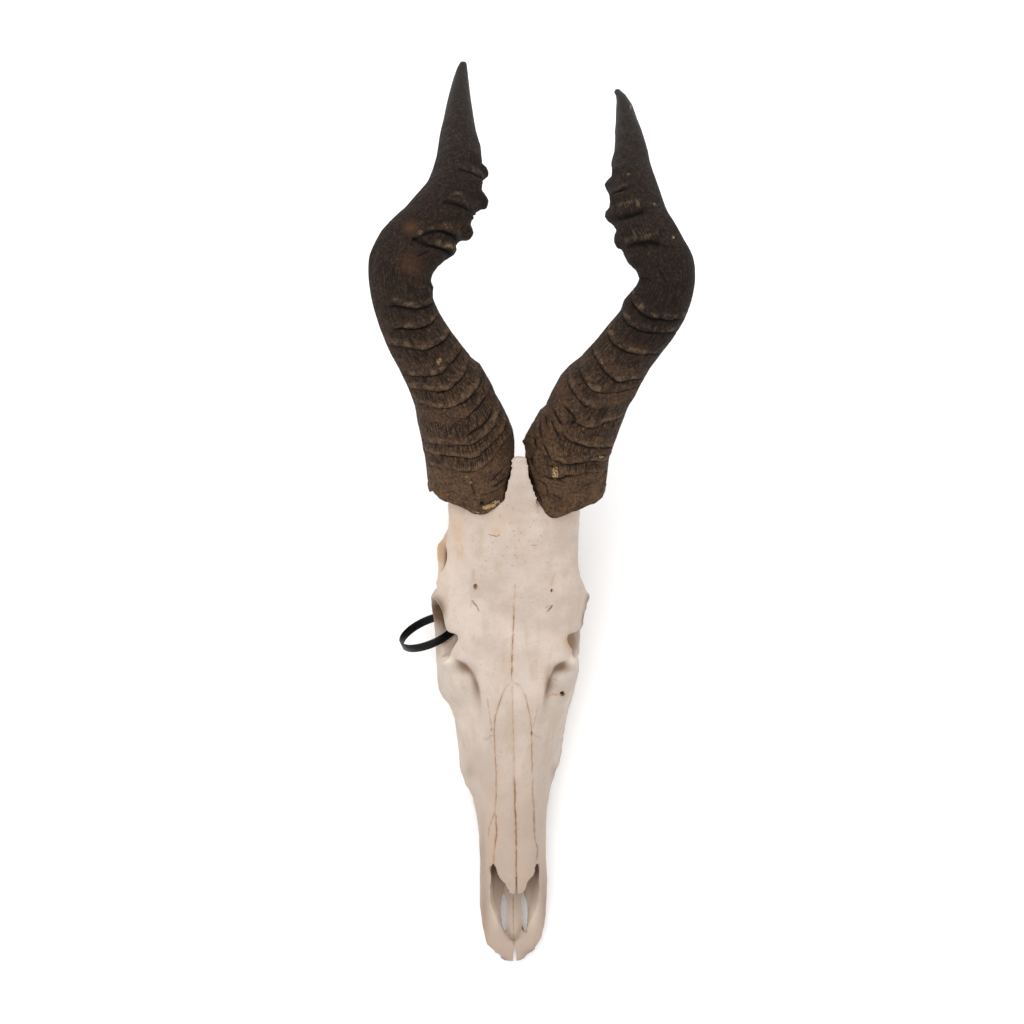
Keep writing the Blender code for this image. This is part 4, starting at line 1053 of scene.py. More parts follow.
# The muzzle is tanner than the forehead: from the tip of the nose at -0.4 m to mid face
height = place_node(tree, "ShaderNodeSeparateXYZ", Vector=where).outputs["Y"]
base = mixed(tree, mapped(tree, height, -0.12, -0.34, 0.0, 0.85), base, colour(186, 163, 147))
streaks = texture(tree, where, 90.0, 4.0, 0.6, (1, 0.1, 1))
base = mixed(tree, mapped(tree, streaks, 0.48, 0.74, 0.0, 0.55), base, colour(196, 172, 146))
specks = texture(tree, where, 700.0, 3.0, 0.7)
base = mixed(tree, mapped(tree, specks, 0.56, 0.7, 0.0, 0.6), base, colour(176, 152, 128))
# Painted shade: brown where the bone closes a place in, in the eye sockets, the hollows before the
# eyes, the holes, down the sides of the muzzle and round the nose tip.
base = mixed(tree, mapped(tree, mark(tree, "hollow"), 0.0, 1.0), base, colour(124, 94, 69))
base = mixed(tree, mark(tree, "warm"), base, colour(206, 160, 112))
# Pale: painted light on the walls and floor of the nose against the shade there, and lighter knobs and
# spots elsewhere.
base = mixed(tree, mark(tree, "pale"), base, colour(244, 228, 205))
# Dark: the seams, cracks and pits, painted shade at the eye sockets and vessel holes, and the darkened
# rim of the nose tip and edges of the muzzle.
base = mixed(tree, mark(tree, "dark"), base, colour(74, 48, 32))
tree.links.new(base, shader.inputs["Base Color"])
relief = raised(tree, shader, old.outputs["Grain"], 0.0006, 0.4)
relief = raised(tree, shader, streaks, 0.0008, 0.35, relief)
raised(tree, shader, old.outputs["Pits"], -0.0003, 0.5, relief)
shader.inputs["Specular IOR Level"].default_value = 0.35
shader.inputs["Subsurface Weight"].default_value = 0.05
shader.inputs["Subsurface Radius"].default_value = (0.004, 0.002, 0.001)
to_the_skull(cranium)
cranium.data.set_sharp_from_angle(angle=math.radians(50))
cranium.name = "skull_bone"
for name, values in bone_marks.items():
    marked(cranium, name, np.clip(values, 0, 1))
cranium.data.materials.clear()
cranium.data.materials.append(bone)
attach(cranium, "root")
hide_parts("cranium")

# CHEEK TEETH
# Twelve upper cheek teeth, three premolars and three molars a side, hard enamel over
# dentine. Each has grown into its socket in the jaw and is worn flat at its lower end.
TEETH = (
    ("premolar_2", 8.5, 9.5, 31.0, 159.5), ("premolar_3", 11.0, 11.5, 32.4, 170.0),
    ("premolar_4", 12.0, 13.0, 33.8, 182.2), ("molar_1", 15.5, 15.0, 34.8, 196.8),
    ("molar_2", 18.5, 16.0, 35.4, 214.6), ("molar_3", 20.0, 15.0, 35.4, 234.6),
)
PREMOLAR_OUTLINE = ((0.94, -0.8), (0.86, 0.0), (0.94, 0.8), (0.4, 1.0), (-0.5, 0.9), (-0.98, 0.3),
                    (-0.98, -0.3), (-0.5, -0.9), (0.4, -1.0))
MOLAR_OUTLINE = ((1.0, -0.85), (0.8, -0.4), (1.0, 0.05), (0.8, 0.45), (0.94, 0.9), (0.2, 1.0),
                 (-0.72, 0.8), (-1.0, 0.45), (-0.7, 0.02), (-1.0, -0.42), (-0.74, -0.82), (0.2, -1.0))
CROWN_LEVELS = ((0.0, 0.30), (0.45, 0.45), (0.5, 0.62), (0.0, 0.70), (0.75, 0.80), (0.55, 0.88),
                (0.0, 0.93), (0.25, 0.955), (1.2, 0.965), (5.0, 0.98), (9.0, 1.0), (14.0, 0.985),
                (18.6, 0.95))


def leaned(x, y):
    """Where the lean of the muzzle brings a place beside the midline."""
    return x + smooth_line(LEAN_Y, LEAN_X, y)[0]


enamel, tree, shader, where = new_material("tooth_enamel", 0.32)
old = weathered(tree, where, 160.0, 1500.0)
base = mixed(tree, old.outputs["Blotches"], colour(206, 187, 162), colour(230, 215, 194))
lines = texture(tree, where, 500.0, 3.0, 0.6, (1, 1, 0.15))
base = mixed(tree, mapped(tree, lines, 0.5, 0.8, 0.0, 0.6), base, colour(150, 118, 88))
base = mixed(tree, mark(tree, "worn"), base, colour(124, 90, 60))
tree.links.new(base, shader.inputs["Base Color"])
relief = raised(tree, shader, lines, 0.0004, 0.5)
raised(tree, shader, old.outputs["Pits"], -0.0002, 0.3, relief)
for side, word in ((-1, "left"), (1, "right")):
    for name, long, wide, x, y in TEETH:
        outline = MOLAR_OUTLINE if name.startswith("molar") else PREMOLAR_OUTLINE
        outline = rounded_outline(outline, 5)
        middle = leaned(side * x, y)
        rows = []
        worn = []
        for z, part in CROWN_LEVELS:
            half_wide = wide / 2 * part
            half_long = (long - 0.8) / 2 * part
            rows.append([(middle + side * half_wide * a, y + half_long * b, z) for a, b in outline])
            worn += [0.85 if 0.4 < z < 0.9 else 0.0] * len(outline)
        crown = skin_over("crown_{}_{}".format(name, word), rows)
        marked(crown, "worn", worn)
        to_the_skull(crown)
        crown.data.materials.append(enamel)
        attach(crown, "root")
        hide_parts("{}_{}".format(name, word))

# HORN SHEATHS
# Two hollow sheaths of brown-black keratin, each pushed over a core of bone. They grew
# ring by ring from the base, so that every ring laps over the one below it.
HORN_ROWS = 440
HORN_AROUND = 168
# Furrows under the rings, as pixels of the photograph: points, rise of the ring above,
# depth, half width of the furrow, how much of it goes on round the back
LEFT_FURROWS = (
    (((427, 464), (443, 467), (460, 470), (468, 471), (476, 470), (482, 467), (487, 462), (492, 456),
      (496, 450), (500, 444), (505, 438)), 2.8, 1.9, 1.2, 0.3),
    (((427, 450.5), (441, 454.5), (450, 455), (466, 458.5), (475, 457), (480, 453), (486, 448),
      (491, 443), (496, 437), (501, 430), (503, 425)), 1.8, 1.3, 1.0, 0.3),
    (((424, 438), (430, 441), (436, 443), (444, 443.5), (459, 444), (465, 445), (471, 443.5),
      (477, 440), (483, 435.5), (488, 431), (492, 427), (495, 421), (497, 413)), 2.8, 1.9, 1.2, 0.3),
    (((420, 417), (426, 419), (433, 421), (441, 422.5), (450, 423), (457, 421.5), (464, 419),
      (468, 416), (472, 412), (477, 407), (481, 401), (484, 395)), 3.2, 2.5, 1.3, 0.4),
    (((415, 400), (426, 404), (433, 406), (441, 408), (448, 407), (455, 405), (462, 402), (467, 398),
      (471, 393), (474, 388)), 3.0, 2.2, 1.3, 0.4),
    (((408, 385), (414, 387), (421, 388.5), (428, 390), (435, 392), (441, 391), (447, 389),
      (453, 385), (458, 380.5), (462, 375), (465, 370)), 3.0, 2.2, 1.3, 0.4),
    (((410, 374), (418, 375), (426, 375.5), (433, 375.5), (438, 373.5), (443, 369.5), (448, 365),
      (452, 360), (456, 355), (459, 350)), 2.5, 1.7, 1.2, 0.3),
    (((398, 345), (405, 346), (412, 348), (424, 350.5), (430, 348.5), (436, 345.5), (442, 341.5),
      (447, 337)), 2.5, 1.7, 1.3, 0.4),
    (((404, 329.5), (410, 329.5), (416, 329), (420, 328), (425, 326), (430, 323), (434, 319.5),
      (437, 315)), 2.5, 1.9, 1.2, 0.3),
    (((399, 308), (410, 309), (420, 308.5), (427, 307), (432, 303)), 2.0, 1.4, 1.4, 0.3),
    (((430, 246), (436, 247), (442, 248.5), (448, 251), (453, 253)), 4.1, 2.6, 2.2, 0.0),
    (((415, 238.5), (420, 235), (427, 232.5), (435, 231.5), (443, 232), (450, 235), (455, 238.5),
      (460, 241)), 4.9, 2.9, 2.2, 0.0),
    (((433, 200), (440, 201), (450, 203.5), (460, 207.5), (468, 212), (472, 215)), 5.2, 2.9, 2.4,
     0.0),
    (((470, 174), (476, 178), (482, 181)), 4.1, 2.1, 1.8, 0.0),
)
RIGHT_FURROWS = (
    (((560, 478), (564, 475.5), (576, 474.5), (588, 472), (602, 470), (607, 469)), 2.2, 1.9, 1.3,
     0.0),
    (((571, 464), (582, 462.5), (593, 460.5), (598, 460), (606, 459)), 1.8, 1.4, 1.0, 0.2),
    (((576, 443), (582, 445), (590, 447), (596, 447), (610, 446)), 1.2, 1.0, 1.1, 0.2),
    (((592, 426), (600, 423.5), (605, 421.5), (610, 420.5), (615, 419.5)), 2.0, 1.6, 1.1, 0.3),
    (((568, 372), (568, 380), (571, 386), (573, 391), (577, 397), (581, 402), (585, 405.5),
      (590, 408.5), (597, 409.5), (603, 409), (609, 408), (615, 406.5), (621, 404), (626, 402)), 3.2,
     2.5, 1.3, 0.4),
    (((583, 378), (587, 384), (591, 388), (597, 391), (603, 392.5), (610, 391.5), (618, 391),
      (626, 389.5), (634, 388)), 3.0, 2.2, 1.3, 0.4),
    (((592, 352), (597, 360), (602, 367), (607, 373), (612, 378), (618, 381), (630, 380)), 2.5, 1.7,
     1.2, 0.3),
    (((607, 333), (611, 340), (616, 346), (622, 349), (630, 352), (640, 353), (648, 353)), 2.5, 1.7,
     1.2, 0.4),
    (((622, 314), (625, 320), (630, 325), (637, 328), (645, 331), (655, 332.5), (665, 331)), 2.5, 1.7,
     1.2, 0.3),
    (((631, 294), (633, 302), (637, 309), (643, 314), (650, 317.5), (658, 319), (668, 319),
      (678, 318)), 2.8, 2.0, 1.3, 0.3),
    (((628, 246), (636, 243), (643, 241), (650, 240.5), (656, 242), (662, 244.5), (670, 246.5),
      (676, 247)), 4.9, 2.9, 2.4, 0.0),
    (((610, 217), (620, 218), (628, 214.5), (636, 212), (643, 209.5), (650, 206), (657, 205.5),
      (662, 207)), 4.9, 2.9, 2.4, 0.0),
    (((608, 196), (613, 195), (618, 192)), 3.0, 1.6, 1.6, 0.0),
)
# Lines traced on each horn, as pixels of the photograph. The rim is where it starts, and
# the edges are its outline, first on the outer side and then on the inner.
LEFT_RIM = ((428.5, 484), (430.7, 490.8), (434.4, 495.8), (438.5, 499.3), (443, 502), (450, 503.5),
            (457, 505), (463, 508), (468, 512), (473, 514.5), (481, 515), (489, 512), (495, 508),
            (500, 503), (505, 497), (509, 488))
RIGHT_RIM = ((534.5, 498), (537.5, 505), (540.5, 510.5), (545.5, 516), (551, 519), (558, 518.7),
             (566.5, 514.5), (578, 508.8), (588, 505.5), (595.5, 502.5), (600.5, 497.5), (604, 490))
LEFT_EDGES = (
    ((457.6, 66), (453.2, 79), (447.8, 98.5), (443.5, 118), (439.1, 137.6), (434.8, 161.4),
     (430.5, 174.4), (420.7, 189.6), (405.5, 207), (390.4, 221), (380.6, 232), (373, 246),
     (368.7, 256.8), (367.2, 269.8), (368.2, 280.7), (369.3, 290), (371.5, 302), (376, 318),
     (382, 335), (390, 353.8), (399.6, 371.3), (407.5, 387.3), (413.9, 404.8), (417.1, 422.3),
     (420.3, 435.1), (422.7, 449.4), (425.4, 462), (427, 476.5), (429, 487), (432, 493)),
    ((467.3, 64), (469.5, 87.7), (472.7, 111.6), (476, 131), (480.3, 146), (481.4, 157),
     (482.2, 163.5), (486.8, 167.5), (488.3, 172.3), (487.8, 177), (483.4, 180.8), (481.9, 185.3),
     (481.9, 191.2), (484.7, 194.2), (488, 199.4), (488, 203.7), (485.8, 209.8), (480.3, 210.9),
     (476, 213.5), (471.7, 221), (470.1, 226.3), (473.8, 231.6), (472.2, 236.2), (468.4, 241.0),
     (459.7, 241.8), (456.5, 245), (455.8, 251.4), (453.2, 255.7), (444.6, 261.2), (437, 267.7),
     (432.6, 273.7), (430.5, 281.8), (433, 288), (432.3, 298), (436.2, 307.5), (444.2, 321.9),
     (450.6, 331.5), (460.2, 344.2), (471.3, 357.8), (479.3, 363.8), (485.7, 374.5), (492, 385.7),
     (494.4, 392), (501.6, 404.8), (508.8, 419.1), (512.8, 430.3), (514.4, 441.5), (514.0, 455.8),
     (513.6, 468.6), (511, 480), (508, 489)),
)
RIGHT_EDGES = (
    ((625.6, 94.2), (632.1, 102.9), (637.5, 118), (644, 135.4), (648.4, 150.6), (651, 163.6),
     (657, 181), (663.6, 200.5), (672.2, 217.8), (680.9, 233), (688.5, 246), (693.3, 256.8),
     (695.4, 269.8), (695.4, 280.7), (693.9, 289.4), (691.0, 302), (684, 320), (675, 335), (662, 352),
     (650, 368), (640, 385.7), (635.5, 395.2), (629.2, 404.8), (622.8, 420.7), (616.4, 438.3),
     (611.6, 452.6), (608.4, 465.4), (606.8, 480), (604, 492)),
    ((615.4, 92), (615.9, 107.2), (614.8, 131), (614.1, 150.6), (611.1, 161.4), (611.5, 171.5),
     (610.8, 176.2), (606.0, 179.9), (604.2, 184.2), (606.1, 189.6), (608.9, 194.4), (609.4, 201.5),
     (608.9, 206.6), (605, 211.3), (604.4, 216.7), (607.2, 221), (612.6, 225.4), (615.9, 230.2),
     (613.2, 236.8), (613.9, 242.7), (616.9, 248), (621.3, 249.6), (623.4, 254.7), (627.8, 263.3),
     (635.4, 269.8), (638.2, 276.3), (636.5, 283.9), (632.1, 289.4), (623.6, 299.6), (619.6, 310.7),
     (610, 321.9), (597.3, 337.8), (581.3, 355.4), (568.6, 365.7), (560.6, 374.5), (551, 392),
     (545.5, 404.8), (539.9, 409.6), (533.5, 420.7), (527.1, 431.9), (523.1, 439.9), (521.9, 442),
     (524.7, 447.8), (525.5, 462.2), (527.6, 474), (530, 483), (533, 492)),
)
# Short wrinkles and cracks that don't go round: points, half width in pixels, depth
LEFT_WRINKLES = (
    (((462, 438), (467, 435), (472, 431.5), (477, 428.5), (482, 425), (487, 420), (490, 415),
      (492, 408)), 1.1, 1.4),
    (((430, 434), (437, 436), (446, 439)), 0.9, 0.6),
    (((408, 357), (415, 357), (420, 361), (430, 361)), 0.9, 0.6),
    (((400, 303), (410, 300), (420, 299), (430, 296)), 1.1, 0.5),
    (((425.5, 283), (429, 288), (432, 295)), 2.2, 1.6),
    (((490, 482), (497, 475), (503, 468)), 1.0, 1.0),
    (((491, 488), (500, 483), (507, 477)), 1.0, 0.9),
    (((487, 494), (496, 490), (503, 485)), 0.9, 0.7),
    (((470, 482), (473, 489), (475, 496)), 0.9, 0.9),
    (((484, 504.5), (490, 502), (496, 499.5)), 0.7, 0.8),
    (((484, 508), (488, 506), (492, 503)), 0.7, 0.7), (((482, 502), (482, 506)), 2.2, 2.6),
    (((446, 189), (455, 190), (463, 191), (470, 194), (476, 196)), 0.8, 0.6),
    (((415, 257), (420, 256), (428, 250)), 1.0, 0.9), (((408, 248), (413, 244)), 1.0, 0.8),
    (((432, 500), (440, 494), (452, 492), (460, 496)), 1.0, 0.5),
    (((436, 484), (446, 486), (456, 484)), 0.9, 0.4),
    (((466, 462), (474, 463), (482, 458)), 0.9, 0.6),
    (((476, 447), (484, 441), (490, 434)), 0.9, 0.7),
)
RIGHT_WRINKLES = (
    (((570, 485), (578, 485), (584, 485.5), (590, 484), (597, 482)), 0.9, 0.5),
    (((566, 493), (573, 493.5), (580, 493), (587, 492.5)), 0.9, 0.5),
    (((594, 455.5), (600, 454.5), (606, 453)), 0.9, 0.9),
    (((586, 437), (592, 435.5), (600, 434.5), (607, 434), (613, 433)), 0.9, 0.6),
    (((551, 408), (554, 413), (557, 418), (560, 423), (562, 427)), 1.3, 1.5),
    (((562, 404), (565, 407), (569, 411), (573, 415), (575, 419), (573, 422), (569, 426)), 1.1, 1.3),
    (((549, 418), (551, 423), (553, 428), (556, 434), (559, 439)), 1.2, 1.2),
    (((541, 415), (543, 420), (545, 426)), 1.1, 1.1),
    (((541, 444), (544, 449), (547, 455), (550, 461)), 1.2, 1.1),
    (((537, 420), (537, 428), (539, 434), (541, 440)), 1.2, 1.1),
    (((531, 437), (532, 443), (534, 449)), 1.1, 1.0),
    (((530, 455), (531, 462), (534, 469), (538, 476)), 1.5, 1.4),
    (((534, 480), (545, 486), (548, 503)), 0.9, 0.8),
    (((550, 494), (556, 497), (562, 501)), 0.9, 0.8), (((553, 487), (562, 491)), 0.8, 0.7),
    (((558, 480), (567, 484)), 0.7, 0.9), (((550.5, 466), (551.5, 468)), 1.5, 1.8),
    (((640, 241), (648, 249)), 1.1, 1.0), (((656, 266), (662, 275), (667, 285)), 1.0, 0.9),
    (((663, 266), (670, 277)), 0.9, 0.8), (((561, 430), (564, 437), (566, 445)), 1.0, 0.7),
    (((572, 455), (578, 452), (584, 452)), 0.9, 0.5),
    (((533, 490), (537, 497), (541, 506)), 1.0, 0.8),
)
# Patches on each sheath: which mark, middle and reach in pixels, strength. The pale marks are tan chips
# and knots, and painted highlights on the lips of rings and knuckles and along the tips. The rust marks
# are reddish stains. The dark marks darken the tone; on the bend of the right horn they are painted
# shade as well.
LEFT_PATCHES = (
    ("pale", 486, 507.8, 3.4, 1.7, 1.3), ("pale", 491, 505.2, 4, 1.9, 1.4),
    ("pale", 496.5, 501.8, 3.4, 1.6, 1.2), ("pale", 465, 476.5, 5, 2, 0.5),
    ("pale", 470, 482, 2.5, 4, 0.4), ("pale", 478, 512.5, 9, 1.5, 0.45),
    ("rust", 410, 228, 9, 8, 0.6), ("rust", 410, 266, 15, 20, 0.4), ("pale", 438, 361, 5, 6, 0.4),
    ("rust", 500, 432, 4, 6, 0.4), ("pale", 457, 194, 11, 4, 0.35), ("pale", 444, 243, 8, 4, 0.35),
    ("rust", 450, 226, 18, 5, 0.4), ("pale", 464, 78, 2, 16, 0.25), ("rust", 445, 492, 14, 8, 0.35),
    ("rust", 487, 398, 5, 12, 0.3), ("pale", 417, 408, 2, 3, 0.5), ("dark", 390, 310, 20, 40, 0.35),
    ("dark", 462, 90, 14, 45, 0.3),
)
RIGHT_PATCHES = (
    ("pale", 555, 473, 3.5, 8, 0.7), ("pale", 600, 455.5, 6, 1.6, 0.5), ("pale", 603, 361, 3, 5, 0.35),
    ("rust", 638, 345, 9, 5, 0.5), ("rust", 560, 392, 5, 12, 0.45), ("rust", 566, 487, 10, 6, 0.35),
    ("pale", 655, 202, 9, 3.5, 0.35), ("pale", 627, 207, 5, 2.5, 0.3), ("pale", 668, 236, 9, 4, 0.3),
    ("pale", 675, 235, 2.5, 2, 0.5), ("pale", 628, 174, 4, 3, 0.35), ("pale", 631, 106, 2, 6, 0.4),
    ("pale", 634, 140, 4, 8, 0.2), ("rust", 586, 428, 12, 10, 0.2), ("rust", 555, 506, 10, 7, 0.3),
    ("dark", 650, 325, 32, 40, 0.75), ("dark", 672, 262, 26, 30, 0.4),
)
ANGLES = np.arange(HORN_AROUND) * 2 * math.pi / HORN_AROUND
KNUCKLE_FACING = math.radians(50)
KNUCKLE_RISE = 3
HORN_MARKS = ("lip", "furrow", "recess", "pale", "rust", "dark")
EDGE_STEP = 1.5
TIP_REACH = 2.4
LEVEL_STEPS = 60
SLOPE_FADE = 0.45
BACK_FADE = 0.55
RIPPLE_SCALE = 0.12
CRUMPLE_SCALE = 0.3
ROUGH_SCALE = 0.06
# The hollow inside, from its depths to the rim: share of the width and length up the sheath
HOLLOW_RINGS = ((0.62, 16.0), (0.70, 3.5), (0.86, 1.0), (0.95, -0.2))


def front_of(line):
    """Find a station and an angle of the sheath from a place in the photograph."""
    station = np.arange(-22, line[0][-1], 2.0)
    angle = np.radians(np.arange(-96, 97, 2.0))
    stations, angles = np.meshgrid(station, angle, indexing="ij")
    place, out, _ = horn_surface(line, stations, angles)
    seen = out[..., 2] > 0.02
    spots = in_photo(place)[seen]
    tree = kdtree.KDTree(len(spots))
    for number, (across, down) in enumerate(spots):
        tree.insert((across, down, 0), number)
    tree.balance()
    return tree, stations[seen], angles[seen]


def on_the_sheath(front, spots):
    """Station and angle for each place in the photograph."""
    tree, stations, angles = front
    found = []
    for across, down in spots:
        near = tree.find_n((across, down, 0), 4)
        weight = np.array([1 / (0.2 + distance) for _, _, distance in near])
        numbers = [number for _, number, _ in near]
        found.append(((stations[numbers] * weight).sum() / weight.sum(),
                      (angles[numbers] * weight).sum() / weight.sum()))
    return np.array(found)


def round_the_sheath(front, spots, limit=1.2, softness=25):
    """A traced line's station at every angle, and how strongly it shows there."""
    spots = np.array(spots, float)
    steps = np.concatenate(([0], np.cumsum(np.linalg.norm(np.diff(spots, axis=0), axis=1))))
    fine = smooth_line(steps, spots, np.linspace(0, steps[-1], max(16, int(steps[-1] * 1.5))))
    found = on_the_sheath(front, fine)
    found = found[np.abs(found[:, 1]) < limit]
    found = found[np.argsort(found[:, 1])]
    low, high = found[0, 1], found[-1, 1]
    even = np.linspace(low, high, LEVEL_STEPS)
    level = np.interp(even, found[:, 1], found[:, 0])
    window = np.hanning(softness) / np.hanning(softness).sum()
    level = np.convolve(np.pad(level, softness // 2, "reflect", reflect_type="odd"), window, "valid")
    slope_low = np.clip((level[8] - level[2]) / (even[8] - even[2]), -20, 20)
    slope_high = np.clip((level[-3] - level[-9]) / (even[-3] - even[-9]), -20, 20)
    turned = (ANGLES + math.pi) % (2 * math.pi) - math.pi
    past = np.where(turned >= low, turned, turned + 2 * math.pi)
    beyond = np.maximum(past - high, 0)
    before = np.maximum(low + 2 * math.pi - past, 0)
    # Round the back it runs evenly from one end of what is seen to the other
    share = np.clip(beyond / (2 * math.pi - (high - low)), 0, 1)
    back = level[-1] + (level[0] - level[-1]) * (3 * share ** 2 - 2 * share ** 3)
    back = back + slope_high * beyond * np.exp(-beyond / SLOPE_FADE)
    back = back - slope_low * before * np.exp(-before / SLOPE_FADE)
    seen = past <= high
    fade = np.where(seen, 1.0, np.exp(-(np.minimum(beyond, before) / BACK_FADE) ** 2))
    return np.where(seen, np.interp(past, even, level), back), fade


def stands_out(line, edge):
    """How far the traced outline stands beyond the plain sheath, against the length."""
    length, fine = line
    middle = in_photo(fine[:, :3])
    found = []
    for spot in edge:
        gap = np.linalg.norm(middle - spot, axis=1)
        near = gap.argmin()
        if 3 < near < 585:
            from_middle = gap[near] * PIXEL * (1 - fine[near, 2] / EYE_HEIGHT)
            found.append((length[near], from_middle - fine[near, 3]))
    return np.array(sorted(found))


def brought_to_edges(skin, line, edges, inner_side):
    """Move the corners sideways until the outline seen from above is the traced one."""
    middle = in_photo(line[1][:, :3])
    back = middle[0] + unit(middle[0] - middle[6]) * np.arange(36, 0, -1.0)[:, None]
    path = np.concatenate((back, middle))
    run = np.concatenate(([0], np.cumsum(np.linalg.norm(np.diff(path, axis=0), axis=1))))
    way = unit(np.gradient(path, axis=0))
    right = np.stack((-way[:, 1], way[:, 0]), -1)
    spots = in_photo(skin)
    near = np.array([((row[:, None] - path[None]) ** 2).sum(2).argmin(1) for row in spots])
    lateral = ((spots - path[near]) * right[near]).sum(-1)
    bins = np.round(run[near] / EDGE_STEP).astype(int)
    for side, edge in ((-inner_side, edges[0]), (inner_side, edges[1])):
        edge = np.array(edge)
        close = ((edge[:, None] - path[None]) ** 2).sum(2).argmin(1)
        reach = side * ((edge - path[close]) * right[close]).sum(1)
        order = np.argsort(run[close])
        have = np.full(bins.max() + 1, 0.5)
        np.maximum.at(have, bins, side * lateral)
        centres = np.arange(len(have)) * EDGE_STEP
        wanted = np.interp(centres, run[close][order], reach[order])
        known = np.clip((centres - 30) / 8, 0, 1) * np.clip((run[close].max() - centres) / 3, 0, 1)
        change = np.clip(wanted - have, -9, np.clip((centres - 40) / 3, 1, 9)) * known
        share = np.clip(side * lateral / np.interp(run[near], centres, have), 0, 1) ** 2
        move = np.interp(run[near], centres, change) * share * side
        move = move * PIXEL * (1 - skin[..., 2] / EYE_HEIGHT)
        skin[..., 0] += move * right[near][..., 0]
        skin[..., 1] -= move * right[near][..., 1]


